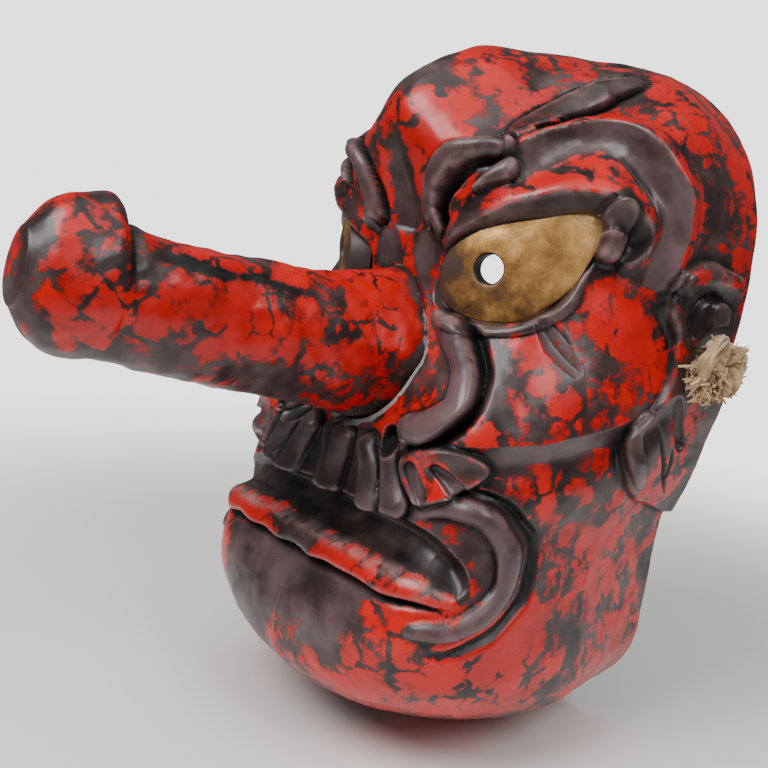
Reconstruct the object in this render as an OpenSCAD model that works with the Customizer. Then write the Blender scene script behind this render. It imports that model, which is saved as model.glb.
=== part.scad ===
// Long-nosed goblin mask: a carved wooden face shell, a separate nose on a tenon,
// gilt eye inserts and a cotton cord knotted through both ears.
// Millimetres. +Z is up, the face looks along -Y, and the flat back rim lies in the plane y = 0.

/* [Face] */
// Height of the face, chin to crown
face_h = 304; // [280:1:330]
// Width of the back rim at the brow
face_w = 192; // [180:1:210]
// Depth of the plain face form, before the carving
face_d = 112; // [104:1:120]
// Thickness of the carved wall
wall = 13; // [12:0.5:15]

/* [Nose] */
// Length of the nose in front of its seat
nose_l = 162; // [130:1:190]
// Upward tilt of the nose
nose_tilt = 7; // [4:1:10]
// Side of the square tenon
tenon_side = 24; // [20:1:26]
// Length of the tenon behind the seat
tenon_l = 30; // [26:1:32]
// Gap between the tenon and its mortise, on each side
tenon_gap = 0.3; // [0.2:0.05:0.5]

/* [Eyes] */
// Length of the eye opening
eye_l = 61; // [56:1:64]
// Height of the eye opening
eye_h = 47; // [42:1:50]
// Radius of the sight hole
pupil_r = 6; // [4:0.5:7]

/* [Cord] */
// Diameter of the cotton cord
cord_d = 8; // [6:0.5:9]
// Radius of the hole through each ear
ear_hole_r = 4.8; // [4.8:0.1:6]

/* [Hidden] */
$fn = 48;

// Scale of the control points with the driving dimensions.
scale_x = face_w / 192;
scale_y = face_d / 112;
scale_z = face_h / 304;
function fit(p) = [p[0] * scale_x, p[1] * scale_y, p[2] * scale_z];

// Height of the pole of the face grid, behind the nose.
pole_z = -12 * scale_z;

lacquer_red = "firebrick";
gilt = "goldenrod";
cotton = "tan";

// ---- Curves ----

function spline_at(a, b, c, d, t) =
    0.5 * (2 * b + (c - a) * t + (2 * a - 5 * b + 4 * c - d) * t * t + (3 * b - a - 3 * c + d) * t * t * t);
function spline(p, n) = [
    for (i = [0 : len(p) - 2], k = [0 : n - 1])
        spline_at(p[max(i - 1, 0)], p[i], p[i + 1], p[min(i + 2, len(p) - 1)], k / n),
    p[len(p) - 1]
];

// ---- Face form ----

// Right half of the back rim, [x, z] from the chin up to the crown.
rim_points = [[0, -161], [43, -151], [67, -125], [70, -90], [72, -62], [79, -40], [90, 0],
              [95, 32], [96, 54], [94, 82], [75, 116], [40, 138], [0, 143]];
rim_curve = spline(rim_points, 6);
// The same outline as [angle, radius] about the pole.
rim_polar = [for (p = rim_curve) let (x = p[0] * scale_x, z = p[1] * scale_z - pole_z) [atan2(z, x), norm([x, z])]];
function folded(b) = let (a = b > 180 ? b - 360 : b) a > 90 ? 180 - a : a < -90 ? -180 - a : a;
function rim_radius(b) = lookup(folded(b), rim_polar);

// A point of the plain form: a is 0 at the pole and 90 at the rim, b turns round it.
function form(a, b, inset) =
    let (r = (rim_radius(b) - inset) * pow(sin(a), 0.85), c = pow(cos(a), 0.85))
    [r * cos(b), -(face_d - inset) * c, pole_z + r * sin(b)];

// Broad masses that swell out of the form: centre, spread and push. A mass off the middle is on both sides.
masses = [
    [[0, -83, -106], [58, 61, 42], [0, -60, -21]],   // chin
    [[66, -65, -68], [29, 36, 48], [18, -38, 0]],    // corner of the jaw
    [[0, -80, -19], [40, 50, 16], [0, -11, 0]],      // upper lip
    [[52, -40, -115], [28, 40, 28], [10, 1, 0]],     // side of the chin
    [[0, -80, 110], [26, 45, 26], [0, -41, 9]],      // forehead
    [[45, -85, 68], [26, 40, 20], [3, -9, 0]],       // brow boss
    [[40, -88, 86], [24, 40, 13], [0, -10, 3]],      // brow above the eye
    [[56, -80, -8], [24, 40, 24], [6, -16, 0]],      // cheek
    [[74, -30, 95], [26, 40, 30], [6, -14, 8]],      // temple
    [[60, -90, 112], [26, 50, 22], [0, 14, -6]]      // hollow above the brow
];
rim_fade = 25; // the push dies out over this depth in front of the rim
function swell(p, c, s, v) =
    let (d = [(p[0] - c[0]) / s[0], (p[1] - c[1]) / s[1], (p[2] - c[2]) / s[2]])
    exp(-0.5 * (d * d)) * min(1, max(0, -p[1] / rim_fade)) * v;
function flip(v) = [-v[0], v[1], v[2]];
function pushed(p, i = 0) = i == len(masses) ? [0, 0, 0]
    : let (c = fit(masses[i][0]), s = masses[i][1], v = masses[i][2])
      swell(p, c, s, v) + (c[0] == 0 ? [0, 0, 0] : swell(p, flip(c), s, flip(v))) + pushed(p, i + 1);

// Outward direction of the plain form.
function outward(p) = let (n = [p[0] / 95 / 95, p[1] / face_d / face_d, (p[2] - pole_z) / 150 / 150]) n / norm(n);

// Carved strokes on the left half, mirrored to the right: height (a cut is negative), half width, then points.
strokes = [
    [6, 8, [[43, -94, 94], [55, -67, 108], [85, -59, 99], [95, -48, 75], [93, -50, 43]]],    // brow band
    [5, 8, [[37, -88, 106], [46, -54, 125], [47, -30, 135]]],                                // brow lens
    [6, 7, [[16, -112, 57], [15, -114, 71], [23, -114, 86], [37, -100, 93], [46, -102, 81]]], // nose-root curl
    [-5, 7, [[0, -114, 56], [0, -112, 92]]],                                                 // cut between curls
    [5, 7, [[30, -111, 56], [51, -107, 64], [77, -82, 79], [91, -65, 70]]],                  // upper lid
    [8, 8, [[34, -116, 18], [55, -121, 5], [60, -129, -10], [40, -133, -24]]],               // nostril wing
    [7, 9, [[6, -134, -44], [28, -136, -50], [52, -134, -44], [80, -122, -30]]],             // moustache
    [-9, 9, [[0, -139, -68], [40, -139, -68], [66, -134, -72], [74, -130, -76]]],            // mouth cut
    [7, 8, [[0, -150, -84], [31, -150, -88], [64, -144, -88]]],                              // lower lip
    [5, 8, [[70, -130, -48], [84, -111, -61], [85, -116, -84], [76, -138, -98]]],            // mouth fold
    [7, 12, [[92, -36, 46], [96, -20, 42], [91, -12, 0], [82, -22, -34]]]                    // ear
];
// Distances to a stroke are taken along the face: a step along the outward direction n counts for little.
flatten = 0.94;
function inner_product(u, v, n) = u * v - flatten * (u * n) * (v * n);
function reach_of(p, a, b, n) =
    let (d = b - a, t = min(1, max(0, inner_product(p - a, d, n) / inner_product(d, d, n))), r = p - a - t * d)
    sqrt(inner_product(r, r, n));
function nearest(p, s, n) = min([for (i = [0 : len(s) - 2]) reach_of(p, fit(s[i]), fit(s[i + 1]), n)]);
function carving(p) =
    let (q = [abs(p[0]), p[1], p[2]], n = outward(q),
         h = [for (s = strokes) let (d = nearest(q, s[2], n) / s[1]) d > 3 ? 0 : s[0] * exp(-d * d)])
    h * [for (v = h) 1];

function outer_point(a, b) =
    let (p = form(a, b, 0), q = p + pushed(p), r = q + carving(q) * outward(p))
    a == 90 ? [r[0], 0, r[2]] : r;
// The hollow follows the same masses, but the wood is left thick behind the nose.
nose_boss = [fit([0, -99, 0]), [44, 60, 46], [0, 15, 0]];
function inner_point(a, b) =
    let (q = form(a, b, wall), r = q + 0.94 * pushed(form(a, b, 0)) + swell(q, nose_boss[0], nose_boss[1], nose_boss[2]))
    a == 90 ? [r[0], 0, r[2]] : r;

// ---- Face shell ----

sectors = 88;
outer_rings = 34;
inner_rings = 12;
function ring(n, count, shape) = [for (j = [0 : sectors - 1]) shape(90 * n / count, 360 * j / sectors)];

module shell_body() {
    outer = [for (i = [1 : outer_rings]) each ring(i, outer_rings, function (a, b) outer_point(a, b))];
    inner = [for (i = [inner_rings : -1 : 1]) each ring(i, inner_rings, function (a, b) inner_point(a, b))];
    rings = outer_rings + inner_rings;
    last = rings * sectors;
    function at(i, j) = i * sectors + j % sectors;
    polyhedron(
        points = concat(outer, inner, [outer_point(0, 0), inner_point(0, 0)]),
        faces = concat(
            [for (j = [0 : sectors - 1]) [last, at(0, j), at(0, j + 1)]],
            [for (i = [0 : rings - 2], j = [0 : sectors - 1]) each [
                [at(i, j), at(i + 1, j), at(i + 1, j + 1)],
                [at(i, j), at(i + 1, j + 1), at(i, j + 1)]]],
            [for (j = [0 : sectors - 1]) [last + 1, at(rings - 1, j + 1), at(rings - 1, j)]]
        )
    );
}

// ---- Nose ----

// The seat is a plane across the root of the nose.
seat = fit([0, -117, 4]);
module nose_frame() translate(seat) rotate([90 - nose_tilt, 0, 0]) children();

// Stations along the nose as shares of its length, with its half width, height above and depth below its axis.
stations = [[0, 31, 36, 32], [0.05, 29, 33, 32], [0.14, 26, 29, 31], [0.32, 23, 25, 29], [0.52, 21, 24, 28],
            [0.7, 21, 24, 26], [0.78, 21, 26, 25], [0.81, 22, 32, 25], [0.87, 22, 32, 25], [0.94, 18, 27, 21],
            [0.985, 11, 17, 12]];
nose_curve = spline(stations, 3);
nose_sides = 28;
function nose_ring(s) = [
    for (k = [0 : nose_sides - 1])
        let (t = 360 * k / nose_sides, up = sin(t) > 0, v = sin(t) * (up ? s[2] : s[3]),
             pinch = 1 - 0.35 * max(0, 1 - s[0] / 0.42) * max(0, v / s[2]))
        [s[1] * cos(t) * pinch, v, s[0] * nose_l]
];
module nose_body() {
    rings = [for (s = nose_curve) nose_ring(s)];
    n = len(rings);
    tip = n * nose_sides;
    function at(i, k) = i * nose_sides + k % nose_sides;
    polyhedron(
        points = concat([for (r = rings) each r], [[0, 2, nose_l], [0, 0, 0]]),
        faces = concat(
            [for (i = [0 : n - 2], k = [0 : nose_sides - 1]) each [
                [at(i, k), at(i + 1, k), at(i + 1, k + 1)],
                [at(i, k), at(i + 1, k + 1), at(i, k + 1)]]],
            [for (k = [0 : nose_sides - 1]) [at(n - 1, k), tip, at(n - 1, k + 1)]],
            [for (k = [0 : nose_sides - 1]) [at(0, k), at(0, k + 1), tip + 1]]
        )
    );
}
// A square bar along the nose's axis, reaching back from the seat.
module tenon_bar(side, length, front) translate([-side / 2, -side / 2, -length]) cube([side, side, length + front]);

module nose() color(lacquer_red) nose_frame() union() {
    nose_body();
    tenon_bar(tenon_side, tenon_l, 10);
}

// ---- Eyes ----

eye_centre = fit([56, -104, 44]);
eye_turn = 34; // the eye looks this far to its own side
module eye_frame() translate(eye_centre) rotate([90, 0, eye_turn]) children();
// Outline of the left eye from its inner corner over the top to the raised outer corner and back.
eye_points = [[-28, -6], [-26, 3], [-19, 10], [-8, 16], [10, 21], [24, 25], [32, 24], [33, 15],
              [30, 5], [25, -5], [16, -14], [7, -20], [-6, -22], [-20, -20], [-27, -14], [-28, -6]];
eye_curve = spline(eye_points, 3);
// The same outline drawn in by a small gap on each side.
module almond(gap = 0) polygon([for (i = [0 : len(eye_curve) - 2])
    [eye_curve[i][0] * (eye_l - 2 * gap) / 61, eye_curve[i][1] * (eye_h - 2 * gap) / 47]]);
pupil_at = [-7.5, -1];
insert_gap = 0.15;
insert_back = -12;
insert_front = 2;
ball_r = 88;    // radius of the swelling front of the eye
module eye_insert() color(gilt) eye_frame() difference() {
    intersection() {
        translate([0, 0, insert_back]) linear_extrude(insert_front - insert_back + 1) almond(insert_gap);
        translate([0, 0, insert_front - ball_r]) sphere(r = ball_r, $fn = 96);
    }
    translate([pupil_at[0], pupil_at[1], insert_back - 1]) cylinder(h = 20, r = pupil_r);
}
module eye_opening() eye_frame() translate([0, 0, -30]) linear_extrude(60) almond();

// ---- Cord holes ----

// The cord passes through a bowl in the hollow of each ear.
ear_at = fit([104, -20, 16]);
bowl_r = 16;

module face_shell() color(lacquer_red) difference() {
    shell_body();
    eye_opening();
    mirror([1, 0, 0]) eye_opening();
    nose_frame() {
        tenon_bar(tenon_side + 2 * tenon_gap, 60, 60);
        linear_extrude(60) polygon([for (p = nose_ring(stations[0])) [p[0], p[1]] * 1.03]);
    }
    translate([-ear_at[0], ear_at[1], ear_at[2]]) rotate([0, 90, 0]) cylinder(h = 2 * ear_at[0], r = ear_hole_r);
    translate(ear_at) sphere(r = bowl_r);
    translate(flip(ear_at)) sphere(r = bowl_r);
}

// ---- Cord ----

// The cord's route from one ear hole to the other, sagging in the hollow.
cord_route = [[92, -20, 16], [84, -20, 16], [75, -20, 15], [66, -19, 7], [55, -17, -7], [39, -15, -20],
              [20, -13.5, -28], [0, -13, -31], [-20, -13.5, -28], [-39, -15, -20], [-55, -17, -7],
              [-66, -19, 7], [-75, -20, 15], [-84, -20, 16], [-92, -20, 16]];
cord_sides = 10;
cord_line = spline([for (p = cord_route) fit(p)], 2);
function unit(v) = v / norm(v);
module cord_tube() {
    n = len(cord_line);
    rings = [for (i = [0 : n - 1])
        let (along = unit(cord_line[min(i + 1, n - 1)] - cord_line[max(i - 1, 0)]),
             side = unit(cross(along, [0, 1, 0])), top = cross(side, along))
        [for (k = [0 : cord_sides - 1]) let (t = 360 * k / cord_sides)
            cord_line[i] + cord_d / 2 * (cos(t) * side + sin(t) * top)]];
    function at(i, k) = i * cord_sides + k % cord_sides;
    polyhedron(
        points = [for (r = rings) each r],
        faces = concat(
            [[for (k = [cord_sides - 1 : -1 : 0]) k]],
            [for (i = [0 : n - 2], k = [0 : cord_sides - 1]) each [
                [at(i, k), at(i, k + 1), at(i + 1, k + 1)],
                [at(i, k), at(i + 1, k + 1), at(i + 1, k)]]],
            [[for (k = [0 : cord_sides - 1]) at(n - 1, k)]]
        )
    );
}
module hanging_cord() color(cotton) cord_tube();

// The knot sits in the ear's bowl, and its frayed end sticks out toward the cheek.
knot_r = 14;
fray_l = 16;
module knot() color(cotton) translate(ear_at) union() {
    sphere(r = knot_r);
    translate([1, -8, -2]) rotate([80, 0, 24]) cylinder(h = fray_l + 6, r1 = 6, r2 = 10);
}

module knot_left() knot();
module knot_right() mirror([1, 0, 0]) knot();
module eye_insert_left() eye_insert();
module eye_insert_right() mirror([1, 0, 0]) eye_insert();

face_shell();
nose();
eye_insert_left();
eye_insert_right();
hanging_cord();
knot_left();
knot_right();
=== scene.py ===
"""Long-nosed goblin mask of carved and lacquered wood, with gilt eyes and a knotted cotton cord."""

import math

import bmesh
import bpy
import numpy as np
from mathutils import Matrix, Vector


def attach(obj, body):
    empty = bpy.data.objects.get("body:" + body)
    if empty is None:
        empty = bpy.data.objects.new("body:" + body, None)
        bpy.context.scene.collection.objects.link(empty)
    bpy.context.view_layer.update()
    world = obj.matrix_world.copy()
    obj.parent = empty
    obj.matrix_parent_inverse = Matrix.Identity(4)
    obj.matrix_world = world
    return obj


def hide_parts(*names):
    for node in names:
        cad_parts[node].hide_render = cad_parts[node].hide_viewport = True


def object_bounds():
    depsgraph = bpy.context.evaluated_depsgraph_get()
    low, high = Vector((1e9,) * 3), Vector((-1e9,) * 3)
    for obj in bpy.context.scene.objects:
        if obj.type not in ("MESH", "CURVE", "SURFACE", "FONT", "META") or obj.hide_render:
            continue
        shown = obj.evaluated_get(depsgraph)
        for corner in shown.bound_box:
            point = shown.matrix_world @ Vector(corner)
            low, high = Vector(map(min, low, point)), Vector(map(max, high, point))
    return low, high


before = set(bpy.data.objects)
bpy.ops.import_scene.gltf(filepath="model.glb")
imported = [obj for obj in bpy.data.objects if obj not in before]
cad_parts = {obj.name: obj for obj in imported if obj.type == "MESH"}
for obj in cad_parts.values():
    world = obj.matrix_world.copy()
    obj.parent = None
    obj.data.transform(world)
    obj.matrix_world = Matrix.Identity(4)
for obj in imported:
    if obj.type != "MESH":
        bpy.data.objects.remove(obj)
CAD_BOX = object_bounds()

bl_info = {
    "name": "Long-nosed mask",
    "version": (1, 0, 0),
    "blender": (4, 5, 0),
    "location": "View3D > Sidebar > Mask",
    "description": "Builds a lacquered long-nosed mask with gilt eyes and a knotted cord",
    "category": "Add Mesh",
}

MM = 0.001
SEED = 7

# ---- Measures shared with the CAD source, in millimetres ----

FACE_D = 112.0
WALL = 13.0
POLE_Z = -12.0
RIM_FADE = 25.0
RIM_POINTS = [(0, -161), (43, -151), (67, -125), (70, -90), (72, -62), (79, -40), (90, 0),
              (95, 32), (96, 54), (94, 82), (75, 116), (40, 138), (0, 143)]
# Broad masses that swell out of the plain form: centre, spread and push.
MASSES = [
    ((0, -83, -106), (58, 61, 42), (0, -60, -21)),
    ((66, -65, -68), (29, 36, 48), (18, -38, 0)),
    ((0, -80, -19), (40, 50, 16), (0, -11, 0)),
    ((52, -40, -115), (28, 40, 28), (10, 1, 0)),
    ((0, -80, 110), (26, 45, 26), (0, -41, 9)),
    ((45, -85, 68), (26, 40, 20), (3, -9, 0)),
    ((40, -88, 86), (24, 40, 13), (0, -10, 3)),
    ((56, -80, -8), (24, 40, 24), (6, -16, 0)),
    ((74, -30, 95), (26, 40, 30), (6, -14, 8)),
    ((60, -90, 112), (26, 50, 22), (0, 14, -6)),
]
NOSE_BOSS = ((0, -99, 0), (44, 60, 46), (0, 15, 0))

NOSE_SEAT = (0.0, -117.0, 4.0)
NOSE_TILT = math.radians(7)
NOSE_L = 162.0
TENON_SIDE = 24.0
TENON_L = 30.0
TENON_GAP = 0.3
SEAT_FIT = 1.03  # the seat in the face is this much wider than the nose's root
# Stations along the nose: share of its length, half width, height above and depth below its axis.
STATIONS = [(0, 31, 36, 32), (0.05, 29, 33, 32), (0.14, 26, 29, 31), (0.32, 23, 25, 29), (0.52, 21, 24, 28),
            (0.7, 21, 24, 26), (0.78, 21, 26, 25), (0.81, 22, 32, 25), (0.87, 22, 32, 25),
            (0.94, 18, 27, 21), (0.985, 11, 17, 12)]

EYE_AT = (56.0, -104.0, 44.0)
EYE_TURN = math.radians(34)
EYE_POINTS = [(-28, -6), (-26, 3), (-19, 10), (-8, 16), (10, 21), (24, 25), (32, 24), (33, 15),
              (30, 5), (25, -5), (16, -14), (7, -20), (-6, -22), (-20, -20), (-27, -14)]
EYE_FRONT = 2.0
EYE_BACK = -12.0
EYE_BALL_R = 88.0
PUPIL_AT = (-7.5, -1.0)
PUPIL_R = 6.0

# The upper half of the nose is pinched near its root: how much, and the share of its length where that ends.
PINCH = 0.35
PINCH_END = 0.42

EAR_AT = (104.0, -20.0, 16.0)
BOWL_R = 16.0
EAR_HOLE_R = 4.8
CORD_ROUTE = [(92, -20, 16), (84, -20, 16), (75, -20, 15), (66, -19, 7), (55, -17, -7), (39, -15, -20),
              (20, -13.5, -28), (0, -13, -31), (-20, -13.5, -28), (-39, -15, -20), (-55, -17, -7),
              (-66, -19, 7), (-75, -20, 15), (-84, -20, 16), (-92, -20, 16)]

STRAND_LOW = 0.76  # radius in the crease between two strands, as a share of the cord's

# The camera's azimuth, elevation and roll in degrees, the point that it faces, and how far off it stands.
CAMERA_TURN = (51.3, 8.1, 7.1)
CAMERA_FACES = (-18.0, -99.5, -16.0)
CAMERA_AWAY = 461.0


# ---- Numbers and meshes ----

def spline(points, steps, closed=False):
    """Smooth line through the points, with that many steps to a stretch."""
    p = np.array(points, float)
    if closed:
        p = np.vstack([p[-1], p, p[0], p[1]])
    else:
        p = np.vstack([p[0], p, p[-1]])
    t = np.arange(steps)[:, None] / steps
    out = []
    for a, b, c, d in zip(p[:-3], p[1:-2], p[2:-1], p[3:]):
        bend = (2 * a - 5 * b + 4 * c - d) * t**2
        out.append(0.5 * (2 * b + (c - a) * t + bend + (3 * b - a - 3 * c + d) * t**3))
    if not closed:
        out.append(p[-1:])
    return np.vstack(out)


def unit(v):
    return v / np.maximum(np.linalg.norm(v, axis=-1, keepdims=True), 1e-9)


def smooth(x, low=0.0, high=1.0):
    t = np.clip((x - low) / (high - low), 0, 1)
    return t * t * (3 - 2 * t)


def mix(a, b, share):
    return a + (b - a) * share


def pitch(millimetres):
    """Scale of a texture whose pattern is about that large."""
    return 1 / (millimetres * MM)


def make_mesh(name, points, faces, materials, face_material=None, marks=None):
    """Mesh object from points in millimetres. marks are named numbers at the points."""
    mesh = bpy.data.meshes.new(name)
    mesh.from_pydata((np.asarray(points, float) * MM).tolist(), [],
                     [tuple(int(i) for i in f) for f in faces])
    for m in materials:
        mesh.materials.append(m)
    if face_material is not None:
        mesh.polygons.foreach_set("material_index", np.asarray(face_material, np.int32))
    mesh.polygons.foreach_set("use_smooth", np.ones(len(mesh.polygons), bool))
    for key, values in (marks or {}).items():
        attribute = mesh.attributes.new(key, "FLOAT", "POINT")
        attribute.data.foreach_set("value", np.asarray(values, np.float32))
    mesh.validate()
    mesh.update()
    piece = bpy.data.objects.new(name, mesh)
    bpy.context.scene.collection.objects.link(piece)
    return piece


def grid_faces(rows, columns, start=0, flip=False):
    """Quads over rows of points that go round in columns."""
    i = np.arange(rows - 1)[:, None]
    j = np.arange(columns)[None, :]
    k = (j + 1) % columns
    quad = [i * columns + j, (i + 1) * columns + j, (i + 1) * columns + k, i * columns + k]
    if flip:
        quad = quad[::-1]
    return start + np.stack([np.broadcast_to(q, np.broadcast(i, j).shape) for q in quad], -1).reshape(-1, 4)


def apply_modifiers(piece):
    """Turns the piece's modifiers into mesh."""
    graph = bpy.context.evaluated_depsgraph_get()
    shaped = piece.evaluated_get(graph)
    done = bpy.data.meshes.new_from_object(shaped, preserve_all_data_layers=True, depsgraph=graph)
    old = piece.data
    for m in list(piece.modifiers):
        piece.modifiers.remove(m)
    piece.data = done
    done.name = piece.name
    bpy.data.meshes.remove(old)


def face_outward(piece):
    """Turns every face's normal to the outside."""
    turned = bmesh.new()
    turned.from_mesh(piece.data)
    bmesh.ops.recalc_face_normals(turned, faces=turned.faces)
    turned.to_mesh(piece.data)
    turned.free()


def sharpen(piece, degrees):
    """Hard edges where faces meet at more than that angle."""
    bpy.context.view_layer.update()
    with bpy.context.temp_override(object=piece, active_object=piece, selected_objects=[piece],
                                   selected_editable_objects=[piece]):
        bpy.ops.object.shade_smooth_by_angle(angle=math.radians(degrees), keep_sharp_edges=False)


# ---- The face's form ----

def rim_radius(beta):
    """Radius of the rim outline at an angle from -90 to 90 degrees, in radians."""
    p = spline(RIM_POINTS, 6)
    angle = np.arctan2(p[:, 1] - POLE_Z, p[:, 0])
    return np.interp(beta, angle, np.hypot(p[:, 0], p[:, 1] - POLE_Z))


def plain_form(alpha, beta, inset=0.0):
    """Half shell: alpha runs from the pole behind the nose to the rim, beta turns round it."""
    r = (rim_radius(beta) - inset) * np.sin(alpha) ** 0.85
    c = np.maximum(np.cos(alpha), 0) ** 0.85
    return np.stack([r * np.cos(beta), -(FACE_D - inset) * c, POLE_Z + r * np.sin(beta)], -1)


def swell(p, centre, spread, push):
    """Soft push round a centre, which fades out to nothing at the rim."""
    d = (p - np.array(centre, float)) / np.array(spread, float)
    share = np.exp(-0.5 * (d * d).sum(-1)) * np.clip(-p[..., 1] / RIM_FADE, 0, 1)
    return share[..., None] * np.array(push, float)


def pushed(p):
    """Sum of the broad masses at each point, with those of the other side."""
    total = np.zeros_like(p)
    for centre, spread, push in MASSES:
        total += swell(p, centre, spread, push)
        if centre[0]:
            other = [(-v[0], v[1], v[2]) for v in (centre, push)]
            total += swell(p, other[0], spread, other[1])
    return total


def outward(p):
    """Direction away from the face's inside, as on a smooth egg."""
    return unit(np.stack([p[..., 0] / 95**2, p[..., 1] / FACE_D**2, (p[..., 2] - POLE_Z) / 150**2], -1))


# ---- Carving ----

class Carving:
    """Height, colour, and black with painted shade, carved over the left half of the face, stroke by stroke.
    """

    FLATTEN = 0.94  # a step along the outward direction counts for little of a distance

    def __init__(self, q, red):
        self.q = q
        self.n = outward(q)
        self.h = np.zeros(len(q))
        self.red = np.full(len(q), red)
        self.black_and_shade = np.zeros(len(q))

    def near(self, points, margin):
        """Numbers of the surface points in the box round some points."""
        low = points.min(0) - margin
        high = points.max(0) + margin
        return np.nonzero(((self.q > low) & (self.q < high)).all(1))[0]

    def line(self, points, margin):
        """Points near a stroke, each with its distance, its side and how far along the stroke it is."""
        steps = 6
        p = spline(points, steps)
        at = self.near(p, margin + 6)
        best = np.full(len(at), 1e9)
        side = np.ones(len(at))
        along = np.zeros(len(at))
        reach = np.r_[0, np.cumsum(np.linalg.norm(np.diff(p, axis=0), axis=1))]
        for first in range(0, len(p) - 1, steps):
            part = p[first:first + steps + 1]
            q = self.q[at]
            box = (q > part.min(0) - margin - 6) & (q < part.max(0) + margin + 6)
            some = np.nonzero(box.all(1))[0]
            q, n = q[some], self.n[at[some]]
            for i in range(first, first + len(part) - 1):
                e = p[i + 1] - p[i]
                d = q - p[i]
                dn = (d * n).sum(1)
                en = n @ e
                t = np.clip((d @ e - self.FLATTEN * dn * en) / (e @ e - self.FLATTEN * en * en), 0, 1)
                r = d - t[:, None] * e
                rn = dn - t * en
                dist = np.sqrt(np.maximum((r * r).sum(1) - self.FLATTEN * rn * rn, 0))
                closer = dist < best[some]
                hit = some[closer]
                best[hit] = dist[closer]
                side[hit] = np.sign((np.cross(e, r[closer]) * n[closer]).sum(1))
                along[hit] = reach[i] + t[closer] * (reach[i + 1] - reach[i])
        keep = best < margin
        return at[keep], best[keep], side[keep], along[keep] / reach[-1]

    def colour(self, at, share, red=None, black_and_shade=None):
        # Besides the red, a point gets black ground lacquer, darkened by painted shade in cuts and hollows.
        if red is not None:
            self.red[at] = mix(self.red[at], red, share)
        if black_and_shade is not None:
            self.black_and_shade[at] = np.maximum(self.black_and_shade[at], black_and_shade * share)

    @staticmethod
    def taper(along, start, end):
        rise = np.clip(along / start, 0, 1) if start else 1.0
        fall = np.clip((1 - along) / end, 0, 1) if end else 1.0
        return np.sqrt(rise * fall)

    def band(self, points, height, width, ends=(0.1, 0.1), groove=0.0, red=0.2, groove_w=1.6):
        """Rounded band, with a tight cut along both of its sides."""
        at, d, _, along = self.line(points, width + 4 * groove_w)
        t = self.taper(along, *ends)
        u = d / (width * mix(0.3, 1, t))
        core = np.sqrt(np.clip(1 - u * u, 0, 1))
        cut = np.exp(-((np.maximum(d - width * mix(0.3, 1, t), 0) + 0.2) / groove_w) ** 2) * (core <= 0)
        self.h[at] += height * t * core - groove * t * cut
        self.colour(at, smooth(core, 0.1, 0.7), red=red)
        self.colour(at, cut * np.minimum(1, groove / 2), red=0.1, black_and_shade=0.9)

    def channel(self, points, depth, width, ends=(0.1, 0.1), red=0.1, black_and_shade=0.3):
        """Round-bottomed trough."""
        at, d, _, along = self.line(points, width)
        t = self.taper(along, *ends)
        u = np.clip(1 - (d / (width * mix(0.4, 1, t))) ** 2, 0, 1)
        self.h[at] -= depth * t * u
        self.colour(at, smooth(u, 0.05, 0.4), red=red, black_and_shade=black_and_shade)

    def groove(self, points, depth, width, ends=(0.1, 0.1), black_and_shade=0.9, red=0.0):
        """V cut."""
        at, d, _, along = self.line(points, width)
        t = self.taper(along, *ends)
        u = np.clip(1 - d / (width * mix(0.35, 1, t)), 0, 1)
        self.h[at] -= depth * t * u**1.4
        self.colour(at, smooth(u, 0.1, 0.9) * t, red=red, black_and_shade=black_and_shade)

    def cove(self, points, height, width, back=20.0, cut=0.0, ends=(0.05, 0.05), red=0.15, black_and_shade=0.0):
        """Crisp edge, high on one side, that falls off in a hollow slope on the other."""
        at, d, side, along = self.line(points, max(2.2 * back, width + 14))
        t = self.taper(along, *ends)
        s = d * side
        high = height * np.exp(-((np.maximum(s, 0) / back) ** 2))
        slope = np.clip(1 + s / width, 0, 1) ** 2
        low = (height + cut) * slope - cut * np.exp(-((np.maximum(-s - width, 0) / 7) ** 2))
        self.h[at] += t * np.where(s >= 0, high, low)
        within = (s < 0) * smooth(1 + s / width, 0.0, 0.25)
        self.colour(at, within * smooth(t, 0, 0.5), red=red, black_and_shade=black_and_shade)

    def finger(self, start, end, w0, w1, height, dome=0.35, edge=0.25, red=0.2, black_and_shade=0.0):
        """Finger-shaped lobe from one point to another."""
        middle = mix(np.array(start, float), np.array(end, float), 0.5)
        at, d, _, along = self.line([start, middle, end], max(w0, w1) + 3)
        u = d / mix(w0, w1, along)
        inside = 1 - smooth(u, 1 - edge, 1.0)
        shape = 1 - dome * np.clip(u, 0, 1) ** 2
        self.h[at] += height * inside * shape
        self.colour(at, inside, red=red)
        rim = np.exp(-((u - 1.05) / 0.16) ** 2)
        self.colour(at, rim, black_and_shade=black_and_shade)

    def dome(self, centre, radius, height, edge=0.0, red=None, black_and_shade=None):
        """Round boss or pit. edge 0 is a soft swell and 1 is a half ball."""
        c = np.array([centre], float)
        at = self.near(c, radius * 1.6)
        r = self.q[at] - c
        rn = (r * self.n[at]).sum(1)
        u = np.sqrt(np.maximum((r * r).sum(1) - self.FLATTEN * rn * rn, 0)) / radius
        soft = np.exp(-3 * u * u)
        ball = np.sqrt(np.clip(1 - u * u, 0, 1))
        share = mix(soft, ball, edge)
        self.h[at] += height * share
        self.colour(at, smooth(share, 0.05, 0.6), red=red, black_and_shade=black_and_shade)

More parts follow.
